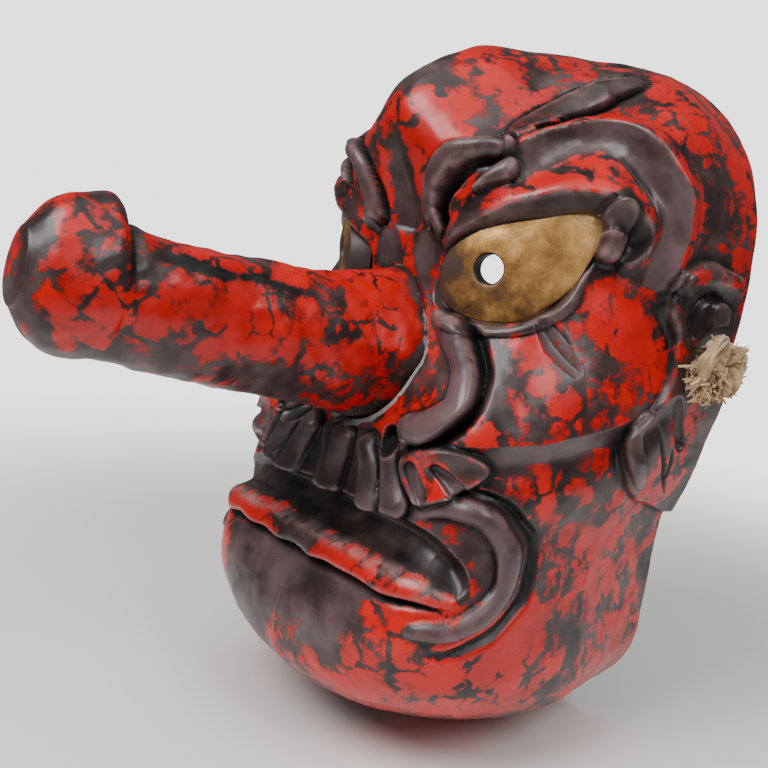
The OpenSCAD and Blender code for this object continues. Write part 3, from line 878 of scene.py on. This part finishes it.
def face_mesh(sizes):
    """Whole shell as rings: the carved outside, the rounded rim and the gouged hollow."""
    rings, half = ((320, 460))
    inner_rings = 50
    left, marks = face_half(sizes, rings, half, SEED)
    right, other = face_half(sizes, rings, half, SEED + 20)
    left[:, [0, -1]] = 0.5 * (left + right)[:, [0, -1]]
    outer = mirrored(left, right * np.array([-1, 1, 1]))
    columns = outer.shape[1]
    marks = {k: mirrored(marks[k].reshape(rings, half), other[k].reshape(rings, half)) for k in marks}
    rim = outer[-1] * np.array([1, 0, 1])
    inward = -unit(outward(rim) * np.array([1, 0, 1]))
    a = np.linspace(1, 0, inner_rings + 1)[:-1] * math.pi / 2
    b = np.linspace(-math.pi / 2, math.pi / 2, half)
    alpha, beta = np.meshgrid(a, b, indexing="ij")
    base = plain_form(alpha, beta)
    inner = plain_form(alpha, beta, WALL)
    inner = inner + 0.94 * pushed(base) + swell(inner, *NOSE_BOSS)
    # Gouge cuts run across the hollow.
    gouge = 0.5 * wobble(inner, 13, SEED + 40) * smooth(-inner[..., 1], 2, 12)
    inner += unit(outward(inner)) * gouge[..., None]
    inner = mirrored(inner, inner * np.array([-1, 1, 1]))
    inner[0] = inner[0] * np.array([1, 0, 1]) + np.array([0, -0.8, 0])
    inner_rim = inner[0] * np.array([1, 0, 1])
    ahead = np.array([0, -0.25, 0])
    lip = [rim + inward * 0.25 + ahead, rim + inward * 0.9,
           inner_rim - inward * 0.9, inner_rim - inward * 0.2 + ahead]
    rows = np.concatenate([outer, np.array(lip), inner])
    count = len(rows)
    top = outer[0].mean(0)
    bottom = inner[-1].mean(0)
    points = np.vstack([rows.reshape(-1, 3), top, bottom])
    last = count * columns
    j = np.arange(columns)
    k = (j + 1) % columns
    faces = list(grid_faces(count, columns, flip=True))
    faces += list(np.stack([np.full(columns, last), k, j], -1))
    end = (count - 1) * columns
    faces += list(np.stack([np.full(columns, last + 1), end + j, end + k], -1))
    slots = np.zeros((count - 1) * columns, int)
    slots[(rings + 1) * columns:] = 1
    slots = np.r_[slots, np.zeros(columns, int), np.ones(columns, int)]
    spare = len(points) - rings * columns
    marks = {key: np.r_[value.ravel(), np.zeros(spare)] for key, value in marks.items()}
    return points, faces, slots, marks


def cutter(name, points, faces, materials, slot):
    """Closed piece that is cut out of the face and leaves the material of that slot."""
    piece = make_mesh(name, points, faces, materials, face_material=[slot] * len(faces))
    face_outward(piece)
    return piece


def prism(outline, back, front, place):
    """Points and faces of a straight prism over an outline, set in place by a function."""
    n = len(outline)
    rows = [np.c_[outline, np.full(n, back)], np.c_[outline, np.full(n, front)]]
    faces = list(grid_faces(2, n)) + [list(range(n))[::-1], list(range(n, 2 * n))]
    return place(np.vstack(rows)), faces


def eye_world(p):
    """Points from the left eye's own frame, across, up and forward, to the mask's."""
    across = np.array([math.cos(EYE_TURN), math.sin(EYE_TURN), 0])
    front = np.array([math.sin(EYE_TURN), -math.cos(EYE_TURN), 0])
    up = np.array([0, 0, 1.0])
    return np.array(EYE_AT) + p[..., :1] * across + p[..., 1:2] * up + p[..., 2:3] * front


def build_face(sizes):
    """The carved shell, with cuts for the eyes, the nose's seat and mortise, and the cord."""
    materials = [finish("Urushi_lacquer_rubbed", rubbed_lacquer),
                 finish("Urushi_lacquer_wiped", inner_lacquer), finish("Paulownia_sawn", bare_wood)]
    points, faces, slots, marks = face_mesh(sizes)
    face = make_mesh("face_carving", points, faces, materials, slots, marks)
    flip = np.array([-1, 1, 1])
    almond = spline(EYE_POINTS, 8, closed=True)
    eye, eye_faces = prism(almond, -30, 30, eye_world)
    t = np.linspace(0, 2 * math.pi, 96, endpoint=False)
    root = nose_ring(STATIONS[0], t)[:, :2] * SEAT_FIT
    side = TENON_SIDE / 2 + TENON_GAP
    square = np.array([(-side, -side), (side, -side), (side, side), (-side, side)])
    cord_hole = np.stack([np.cos(t), np.sin(t)], -1) * EAR_HOLE_R
    # A bowl for the knot, made as rings of a ball.
    turn = np.linspace(0, math.pi, 34)[1:-1]
    ball = np.stack([np.outer(np.sin(turn), np.cos(t)), np.outer(np.sin(turn), np.sin(t)),
                     np.repeat(np.cos(turn)[:, None], len(t), 1)], -1).reshape(-1, 3) * BOWL_R
    ball_faces = list(grid_faces(len(turn), len(t)))
    ball_faces += [list(range(len(t)))[::-1], list(range(len(ball) - len(t), len(ball)))]

    def along_x(p):
        return np.stack([p[..., 2], p[..., 0] + EAR_AT[1], p[..., 1] + EAR_AT[2]], -1)

    cuts = [(eye, eye_faces, 0), (eye * flip, eye_faces, 0), (*prism(root, 0, 60, nose_world), 2),
            (*prism(square, -60, 20, nose_world), 2), (*prism(cord_hole, -EAR_AT[0], EAR_AT[0], along_x), 0),
            (ball + np.array(EAR_AT), ball_faces, 0), ((ball + np.array(EAR_AT)) * flip, ball_faces, 0)]
    cutters = []
    for i, (p, f, slot) in enumerate(cuts):
        tool = cutter(f"cutter_{i}", p, f, materials, slot)
        cutters.append(tool)
        cut = face.modifiers.new(tool.name, "BOOLEAN")
        cut.operation = "DIFFERENCE"
        cut.solver = "MANIFOLD"
        cut.object = tool
    apply_modifiers(face)
    for tool in cutters:
        bpy.data.objects.remove(tool)
    if len(face.data.polygons) < 10000:
        raise RuntimeError("face_carving: the cuts left too little of the shell")
    sharpen(face, 50)
    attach(face, "mask")
    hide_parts("face_shell")


def build_nose(sizes):
    """The nose turns up at its end in a thick lip, and a square tenon stands behind its root."""
    sides = 112
    t = np.linspace(0, 2 * math.pi, sides, endpoint=False)
    body = spline(STATIONS, 24)
    close = np.linspace(0, math.pi / 2, 14)[1:-1]
    end = body[-1]
    tip = [(end[0] + (1 - end[0]) * math.sin(u), *(end[1:] * math.cos(u))) for u in close]
    half = TENON_SIDE / 2
    corner = np.maximum(np.abs(np.cos(t)), np.abs(np.sin(t)))[:, None]
    square = np.stack([np.cos(t), np.sin(t)], -1) / corner
    chamfer = 1.2
    rows = [np.c_[square * (half - chamfer), np.full(sides, -TENON_L)],
            np.c_[square * half, np.full(sides, chamfer - TENON_L)],
            np.c_[square * half, np.zeros(sides)]]
    root = nose_ring(body[0], t)
    rows.append(root * np.array([0.985, 0.985, 1]))
    wood_rows = len(rows)
    shares = []
    for station in list(body) + tip:
        rows.append(nose_ring(station, t))
        shares.append(station[0])
    rows = np.array(rows)
    shares = np.array(shares)[:, None]
    skin = rows[wood_rows:]
    axis = skin.mean(1, keepdims=True)
    out = unit(skin - axis)
    s = np.sin(t)[None, :]
    # A ridge along each shoulder, a flatter top between them, and a soft waist behind the lip.
    shoulder = np.exp(-((np.abs(np.cos(t)) - 0.62) / 0.16) ** 2)[None, :] * smooth(s, 0.2, 0.6)
    along = smooth(shares, 0.06, 0.2) * (1 - smooth(shares, 0.66, 0.76))
    move = 1.0 * shoulder * along - 0.7 * smooth(s, 0.8, 1.0) * along
    lip = np.exp(-((shares - 0.825) / 0.022) ** 2) * smooth(s, 0.15, 0.8)
    waist = np.exp(-((shares - 0.785) / 0.016) ** 2) * smooth(s, 0.0, 0.8)
    move = move + 1.2 * lip - 2.2 * waist
    move = move + 0.35 * wobble(skin, 26, SEED + 60) + 0.12 * wobble(skin, 7, SEED + 61)
    fade = smooth(shares, 0.0, 0.03) * (1 - 0.8 * smooth(shares, 0.97, 1.0))
    rows[wood_rows:] = skin + out * (move * fade)[..., None]
    count = len(rows)
    points = np.vstack([rows.reshape(-1, 3), [(0, 0, -TENON_L)], [(0, 2, NOSE_L)]])
    j = np.arange(sides)
    k = (j + 1) % sides
    last = count * sides
    faces = list(grid_faces(count, sides, flip=True))
    faces += list(np.stack([np.full(sides, last), k, j], -1))
    end_row = (count - 1) * sides
    faces += list(np.stack([np.full(sides, last + 1), end_row + j, end_row + k], -1))
    slots = np.zeros((count - 1) * sides, int)
    slots[:(wood_rows - 1) * sides] = 1
    slots = np.r_[slots, np.ones(sides, int), np.zeros(sides, int)]
    red = 0.72 - 0.30 * smooth(-s, 0.25, 0.8) - 0.2 * np.exp(-((shares - 0.76) / 0.05) ** 2)
    red = red - 0.25 * (1 - smooth(shares, 0.0, 0.06)) - 0.12 * smooth(shares, 0.9, 1.0)
    # A long crease along each shoulder holds the black.
    crease = np.exp(-((s - 0.62 - 0.04 * np.sin(shares * 30)) / 0.07) ** 2)
    crease = crease * smooth(shares, 0.3, 0.42) * (1 - smooth(shares, 0.66, 0.78))
    # Painted shade in the waist behind the lip, and a dark root at its joint with the face.
    black_and_shade = 0.5 * waist + 0.25 * (1 - smooth(shares, 0.0, 0.03)) * np.ones_like(s) + 0.85 * crease
    seam = (1 - smooth(shares, 0.006, 0.024)) * (0.4 + 0.42 * smooth(-s, -0.5, 0.2))
    marks = {}
    for key, value in (("red", red), ("black_and_shade", black_and_shade), ("seam", seam)):
        value = np.broadcast_to(value, (len(shares), sides)).ravel()
        marks[key] = np.r_[np.zeros(wood_rows * sides), value, 0, value[-1]]
    materials = [finish("Urushi_lacquer_rubbed", rubbed_lacquer), finish("Paulownia_sawn", bare_wood)]
    nose = make_mesh("nose_carving", nose_world(points), faces, materials, slots, marks)
    sharpen(nose, 50)
    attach(nose, "nose")
    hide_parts("nose")


def build_eye(name, node, flip):
    """A gilt plate with a swelling front and a round sight hole."""
    almond = spline(EYE_POINTS, 10, closed=True) * 0.996
    n = len(almond)
    front_rows = 34
    centre = np.array(PUPIL_AT)
    t = np.arctan2(*(almond - centre).T[::-1])
    circle = np.stack([np.cos(t), np.sin(t)], -1)

    def front(xy):
        return EYE_FRONT - EYE_BALL_R + np.sqrt(EYE_BALL_R**2 - (xy**2).sum(-1))

    rows = []
    gilt_dimming = []
    for share in np.linspace(0, 1, front_rows):
        xy = mix(centre + circle * (PUPIL_R + 0.5), almond, share)
        z = front(xy) - 0.5 * np.exp(-share * 30) - 0.35 * max(0, share - 0.97) / 0.03
        z = z + 0.12 * wobble(np.c_[xy, z], 9, SEED + 80)
        rows.append(np.c_[xy, z])
        near = np.linalg.norm(xy - centre, axis=1)
        # The gilt is marked browner in a ring round the sight hole, towards the inner corner and in a patch
        # below, and brighter towards the upper outer corner.
        gilt_dimming.append(np.exp(-((near - 8) / 5) ** 2) * 0.5 + 0.9 * smooth(-xy[:, 0], 12, 26)
                    + 0.5 * np.exp(-(((xy - np.array((6, -14))) / np.array((8, 5))) ** 2).sum(1))
                    - 0.3 * smooth(xy[:, 0] + xy[:, 1], 10, 40))
    rows.append(np.c_[almond, np.full(n, EYE_BACK)])
    rows.append(np.c_[centre + circle * PUPIL_R, np.full(n, EYE_BACK)])
    bore = centre + circle * PUPIL_R
    rows.append(np.c_[bore, np.full(n, EYE_BACK * 0.5)])
    rows.append(np.c_[bore, front(bore) - 1.1])
    count = len(rows)
    points = eye_world(np.array(rows)).reshape(-1, 3) * np.array(flip)
    i = np.arange(count)[:, None]
    j = np.arange(n)[None, :]
    a, b = i * n + j, ((i + 1) % count) * n + j
    c, d = ((i + 1) % count) * n + (j + 1) % n, i * n + (j + 1) % n
    quads = np.stack([a, b, c, d] if flip[0] > 0 else [d, c, b, a], -1).reshape(-1, 4)
    slots = np.zeros((count, n), int)
    slots[front_rows - 1:] = 1
    gilt_dimming = np.r_[np.array(gilt_dimming).ravel(), np.ones(4 * n)]
    materials = [finish("Gold_leaf_worn", worn_gilt), finish("Urushi_lacquer_wiped", inner_lacquer)]
    eye = make_mesh(name, points, quads, materials, slots.ravel(), {"gilt_dimming": gilt_dimming})
    face_outward(eye)
    sharpen(eye, 45)
    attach(eye, "mask")
    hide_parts(node)


def tube(line, radius, sides, closed=False):
    """Rings round a line. radius is a function of the share of the line and the angle."""
    p = np.asarray(line, float)
    along = unit(np.roll(p, -1, 0) - np.roll(p, 1, 0)) if closed else unit(np.gradient(p, axis=0))
    side = np.zeros_like(p)
    side[0] = unit(np.cross(along[0], [0.3, 1, 0.2]))
    for i in range(1, len(p)):
        s = side[i - 1] - along[i] * (side[i - 1] @ along[i])
        side[i] = unit(s)
    top = np.cross(side, along)
    t = np.linspace(0, 2 * math.pi, sides, endpoint=False)
    reach = np.r_[0, np.cumsum(np.linalg.norm(np.diff(p, axis=0), axis=1))]
    if closed:
        # Spreads the leftover turn so the last ring meets the first.
        over = math.atan2(side[-1] @ top[0], side[-1] @ side[0])
        spin = -over * reach / reach[-1]
    else:
        spin = np.zeros(len(p))
    angle = t[None, :] + spin[:, None]
    r = radius(reach[:, None], t[None, :]) * np.ones_like(angle)
    ring = side[:, None] * np.cos(angle)[..., None] + top[:, None] * np.sin(angle)[..., None]
    return p[:, None] + ring * r[..., None], r


def strands(radius, lay, count=3):
    """Profile of a rope of twisted strands that go once round it in the length of the lay."""
    def profile(reach, t):
        turn = 0.5 * count * (t - 2 * math.pi * reach / lay)
        return radius * (STRAND_LOW + (1 - STRAND_LOW) * np.abs(np.cos(turn)))
    return profile


def creases(r, radius):
    """How far down each point lies between the strands, from 0 to 1."""
    return 1 - (r / radius - STRAND_LOW) / (1 - STRAND_LOW)


def capped(rows, sides, start):
    """Faces of an open tube with its ends closed, starting at a point number."""
    count = len(rows)
    faces = [list(f) for f in grid_faces(count, sides, start)]
    faces.append([start + k for k in range(sides)])
    faces.append([start + (count - 1) * sides + k for k in reversed(range(sides))])
    return faces


def build_cord(sizes):
    """A limp three-strand cord that hangs inside the face from ear to ear."""
    line = spline(CORD_ROUTE, 24)
    radius = sizes.cord_diameter / MM / 2
    sides = 30
    rows, r = tube(line, strands(radius, 4.4 * radius), sides)
    materials = [finish("Cotton_twisted", cotton)]
    # The cord is marked with painted shade in the creases between its strands.
    marks = {"crease_shade": creases(r, radius).ravel() ** 2}
    cord = make_mesh("cord_rope", rows.reshape(-1, 3), capped(rows, sides, 0), materials, marks=marks)
    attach(cord, "mask")
    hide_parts("hanging_cord")
    return cord, line


def build_knot(name, node, flip, sizes, seed):
    """A lump of knotted cord in the ear, with its end frayed out toward the cheek."""
    rng = np.random.default_rng(seed)
    radius = sizes.cord_diameter / MM / 2 * 0.86
    u = np.linspace(0, 2 * math.pi, 220, endpoint=False)
    # An overhand knot, drawn tight.
    ring = 3.0 * (2 + np.cos(3 * u))
    loop = np.stack([3.4 * np.sin(3 * u), ring * np.cos(2 * u) * 1.12, ring * np.sin(2 * u) * 0.95], -1)
    loop += np.array([2.5, 1.5, 0.0]) + np.stack([wobble(loop, 14, seed + i) for i in range(3)], -1) * 0.5
    around = 24
    rows, r = tube(loop, strands(radius, 4.4 * radius), around, closed=True)
    points = [rows.reshape(-1, 3)]
    # The knot is marked with painted shade in the creases between its strands.
    marks = [(creases(r, radius) ** 2 * 0.8).ravel()]
    faces = [list(f) for f in grid_faces(len(rows), around)]
    last = (len(rows) - 1) * around
    faces += [[last + a, a, (a + 1) % around, last + (a + 1) % around] for a in range(around)]
    start = len(points[0])

    def yarn(line, thick, thin, sides, yarn_shade):
        nonlocal start, faces
        shape, r = tube(line, lambda reach, a: mix(thick, thin, reach / reach[-1]), sides)
        points.append(shape.reshape(-1, 3))
        faces += capped(shape, sides, start)
        start += len(line) * sides
        marks.append(np.repeat(yarn_shade, sides))

    # The upper yarns leave the hole in a skein and bend down.
    for i in range(46):
        lift = rng.uniform(-1, 1)
        depth = rng.uniform(-1, 1)
        bend = np.array([(0.5, 2, 3.5), (5 + 1.5 * depth, -3, 8.5 + 2.6 * lift),
                         (7.5 + 2 * depth, -10, 7.5 + 3 * lift),
                         (7 + 2 * depth, -14.5, 2 + 3 * lift), (5 + 2 * depth, -13, -3.5 + 2.5 * lift)])
        bend[1:] += rng.normal(size=(4, 3)) * 0.5
        # Each yarn carries painted shade, darkest where it leaves the hole.
        yarn(spline(bend, 6), 0.95, 0.5, 6, np.linspace(0.7, 0.1, 25))
    for i in range(sizes.fibres):
        kind = i / sizes.fibres
        if kind < 0.32:
            # Frayed ends that hang below the skein.
            root = np.array([3.0, -6.0, -2.0]) + rng.normal(size=3) * np.array([2.5, 2.5, 2.5])
            way = unit(np.array([rng.uniform(-0.1, 0.5), -rng.uniform(0.1, 1.0), -rng.uniform(0.5, 1.2)]))
            length, thick = rng.uniform(5, 8.5), rng.uniform(0.55, 0.95)
        else:
            # Fluff all over the lump.
            root = loop[rng.integers(len(loop))] * rng.uniform(0.95, 1.05)
            way = unit(root * np.array([1.6, 1, 1]) + rng.normal(size=3) * 7)
            length, thick = rng.uniform(2.2, 4.2), rng.uniform(0.4, 0.7)
        curl = rng.normal(size=3)
        share = np.linspace(0, 1, 7)[:, None]
        line = root + way * length * share + unit(np.cross(way, curl)) * (length * 0.65 * share * share)
        line += np.sin(share * rng.uniform(4, 9)) * curl * 0.5 * share
        # Painted shade darkens each fibre towards its root.
        yarn(line, thick, thick * 0.5, 5, 0.7 * (1 - share[:, 0]) ** 1.5)
    shift = np.array([-2.4, -5.2, -1])
    points = (np.vstack(points) * 1.1 + np.array(EAR_AT) + shift) * np.array(flip)
    if flip[0] < 0:
        faces = [f[::-1] for f in faces]
    materials = [finish("Cotton_twisted", cotton)]
    knot = make_mesh(name, points, faces, materials, marks={"crease_shade": np.concatenate(marks)})
    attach(knot, "mask")
    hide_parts(node)
    return knot


# ---- Stage ----

def view_axes(azimuth, elevation, roll):
    """Right, up and backward of a camera or lamp that looks in from that direction. Angles are in radians."""
    back = Vector((math.sin(azimuth) * math.cos(elevation), -math.cos(azimuth) * math.cos(elevation),
                   math.sin(elevation)))
    right = (-back).cross(Vector((0, 0, 1))).normalized()
    up = right.cross(-back)
    across = right * math.cos(roll) + up * math.sin(roll)
    over = up * math.cos(roll) - right * math.sin(roll)
    return across, over, back


def place_camera():
    """The camera, turned a little about its own line of sight."""
    across, over, back = view_axes(*(math.radians(a) for a in CAMERA_TURN))
    camera = bpy.data.objects.new("camera", bpy.data.cameras.new("camera"))
    camera.data.sensor_width = 36
    camera.data.lens = 46.875
    camera.data.clip_start = 0.01
    spot = Vector(CAMERA_FACES) * MM + back * CAMERA_AWAY * MM
    camera.matrix_world = Matrix.Translation(spot) @ Matrix((across, over, back)).transposed().to_4x4()
    bpy.context.scene.collection.objects.link(camera)
    bpy.context.scene.camera = camera


def place_light(name, azimuth, elevation, distance, size, power):
    """Round soft lamp that faces the middle of the mask, with its angles in degrees."""
    across, over, back = view_axes(math.radians(azimuth), math.radians(elevation), 0)
    lamp = bpy.data.objects.new(name, bpy.data.lights.new(name, "AREA"))
    lamp.data.shape = "DISK"
    lamp.data.size = size
    lamp.data.energy = power
    spot = Vector((0, -0.09, 0)) + back * distance
    lamp.matrix_world = Matrix.Translation(spot) @ Matrix((across, over, back)).transposed().to_4x4()
    bpy.context.scene.collection.objects.link(lamp)


def place_sun(azimuth, elevation, strength):
    """An even wash of light from above."""
    across, over, back = view_axes(math.radians(azimuth), math.radians(elevation), 0)
    lamp = bpy.data.objects.new("wash_light", bpy.data.lights.new("wash_light", "SUN"))
    lamp.data.energy = strength
    lamp.data.angle = math.radians(60)
    lamp.matrix_world = Matrix((across, over, back)).transposed().to_4x4()
    bpy.context.scene.collection.objects.link(lamp)


def place_floor():
    """A round flat sheet of paper under the mask."""
    sides = 64
    rings = np.array([0.2, 0.4, 0.6, 0.8, 1.0])
    t = np.linspace(0, 2 * math.pi, sides, endpoint=False)
    circle = np.stack([np.cos(t), np.sin(t), np.zeros(sides)], -1)
    points = np.vstack([(rings[:, None, None] * circle).reshape(-1, 3), [(0, 0, 0)]]) / MM
    points[:, 2] = CAD_BOX[0][2] / MM - 1.0
    middle = len(points) - 1
    faces = list(grid_faces(len(rings), sides)) + [[middle, j, (j + 1) % sides] for j in range(sides)]
    floor = make_mesh("paper_floor", points, faces, [finish("Paper_matt", pale_paper)])


def light_world(sizes):
    """Even light from all round, and a white backdrop."""
    world = bpy.data.worlds.new("studio")
    world.use_nodes = True
    tree = world.node_tree
    tree.nodes.clear()
    # The backdrop is bright to look at, but the room it lights is dim, so the lacquer keeps its blacks.
    seen = add(tree, "LightPath").outputs["Is Camera Ray"]
    strength = add(tree, "MapRange", {0: seen, 3: sizes.room_light, 4: 2.4}).outputs[0]
    sky = add(tree, "Background", {"Color": (1, 1, 1, 1), "Strength": strength})
    add(tree, "OutputWorld", {"Surface": sky.outputs[0]})
    bpy.context.scene.world = world


# ---- Add-on ----

class MaskSizes(bpy.types.PropertyGroup):
    relief: bpy.props.FloatProperty(name="Relief", description="Share of the full depth of the carving",
                                    default=1.0, min=0.5, max=1.2, subtype="FACTOR")
    waver: bpy.props.FloatProperty(name="Waver", description="How far a carved line strays", default=0.0004,
                                   min=0.0, max=0.003, unit="LENGTH")
    cord_diameter: bpy.props.FloatProperty(name="Cord diameter", description="Thickness of the cotton cord",
                                           default=0.008, min=0.006, max=0.009, unit="LENGTH")
    fibres: bpy.props.IntProperty(name="Fibres", description="Frayed yarns in each knot", default=560,
                                  min=50, max=900)
    room_light: bpy.props.FloatProperty(name="Room light", description="Strength of the light all round",
                                        default=0.16, min=0.0, max=2.0)


def colour_property(name, description, code):
    return bpy.props.FloatVectorProperty(name=name, description=description, default=linear(code), size=3,
                                         min=0.0, max=1.0, subtype="COLOR")


class MaskColours(bpy.types.PropertyGroup):
    vermilion: colour_property("Vermilion", "Top coat of the lacquer", "C80C04")
    maroon: colour_property("Maroon", "Top coat where it is rubbed thin", "4E1C1A")
    # The polished brown is partly burnished lacquer and partly painted sheen.
    brown: colour_property("Brown", "Polished ground of the lacquer", "3B2A29")
    polished: colour_property("Polished brown", "Ground of the lacquer where hands have polished it",
                              "665052")
    black: colour_property("Black", "Ground of the lacquer in the cuts", "0E0B0A")
    # The rubbed edge colour is partly wear and partly a painted highlight on crisp ridges.
    rubbed: colour_property("Rubbed edge", "Lacquer where a crisp edge has worn pale", "9C7C7A")
    putty: colour_property("Putty", "Filler in the joint of the nose", "8E8C8A")
    wood: colour_property("Wood", "Bare wood in the joint", "B98F5E")
    gilt: colour_property("Gilt", "Gold leaf", "CC9A58")
    gilt_light: colour_property("Light gilt", "Gold leaf where it is thick", "F0CC94")
    gilt_dark: colour_property("Dark gilt", "Gold leaf where it is thin", "8C6230")
    gilt_brown: colour_property("Gilt brown", "Ground under the gold leaf", "4C3422")
    cotton: colour_property("Cotton", "Cotton of the cord", "C6A478")
    cotton_light: colour_property("Light cotton", "Cotton in the light", "E2CBA2")
    cotton_dark: colour_property("Dark cotton", "Cotton in the creases", "9A7450")
    paper: colour_property("Paper", "Background paper", "F2F1EF")


class LONGNOSE_OT_stage(bpy.types.Operator):
    """Sets the camera, the soft lights and the floor"""
    bl_idname = "longnose.stage"
    bl_label = "Stage"

    def execute(self, context):
        place_camera()
        light_world(context.scene.mask_sizes)
        place_light("key_light", azimuth=5, elevation=45, distance=1.2, size=0.8, power=16)
        place_light("side_light", azimuth=92, elevation=38, distance=1.3, size=0.7, power=7)
        place_sun(azimuth=60, elevation=75, strength=1.0)
        place_floor()
        return {"FINISHED"}


class LONGNOSE_OT_cord(bpy.types.Operator):
    """Makes the cord and the knots at its ends"""
    bl_idname = "longnose.cord"
    bl_label = "Cord and knots"

    def execute(self, context):
        sizes = context.scene.mask_sizes
        cord, line = build_cord(sizes)
        left = build_knot("knot_fray_left", "knot_left", (1, 1, 1), sizes, SEED + 100)
        right = build_knot("knot_fray_right", "knot_right", (-1, 1, 1), sizes, SEED + 130)
        return {"FINISHED"}


class LONGNOSE_OT_face(bpy.types.Operator):
    """Carves the hollow face shell"""
    bl_idname = "longnose.face"
    bl_label = "Face shell"

    def execute(self, context):
        build_face(context.scene.mask_sizes)
        return {"FINISHED"}


class LONGNOSE_OT_nose(bpy.types.Operator):
    """Carves the long nose and its tenon"""
    bl_idname = "longnose.nose"
    bl_label = "Nose"

    def execute(self, context):
        build_nose(context.scene.mask_sizes)
        return {"FINISHED"}


class LONGNOSE_OT_eyes(bpy.types.Operator):
    """Makes the two gilt eyes"""
    bl_idname = "longnose.eyes"
    bl_label = "Gilt eyes"

    def execute(self, context):
        build_eye("eye_gilt_left", "eye_insert_left", (1, 1, 1))
        build_eye("eye_gilt_right", "eye_insert_right", (-1, 1, 1))
        return {"FINISHED"}


STEPS = (LONGNOSE_OT_stage, LONGNOSE_OT_cord, LONGNOSE_OT_face, LONGNOSE_OT_nose, LONGNOSE_OT_eyes)


class LONGNOSE_PT_sidebar(bpy.types.Panel):
    """Lists the mask's sizes, colours and pieces"""
    bl_label = "Long-nosed mask"
    bl_space_type = "VIEW_3D"
    bl_region_type = "UI"
    bl_category = "Mask"

    def draw(self, context):
        for step in STEPS:
            self.layout.operator(step.bl_idname)
        for group in (context.scene.mask_sizes, context.scene.mask_colours):
            for key in group.__annotations__:
                self.layout.prop(group, key)


CLASSES = (MaskSizes, MaskColours, *STEPS, LONGNOSE_PT_sidebar)


def register():
    for item in CLASSES:
        bpy.utils.register_class(item)
    bpy.types.Scene.mask_sizes = bpy.props.PointerProperty(type=MaskSizes)
    bpy.types.Scene.mask_colours = bpy.props.PointerProperty(type=MaskColours)


def unregister():
    del bpy.types.Scene.mask_colours
    del bpy.types.Scene.mask_sizes
    for item in reversed(CLASSES):
        bpy.utils.unregister_class(item)


def main():
    register()
    bpy.ops.longnose.stage()
    bpy.ops.longnose.cord()
    bpy.ops.longnose.face()
    bpy.ops.longnose.nose()
    bpy.ops.longnose.eyes()


if __name__ == "__main__":
    main()
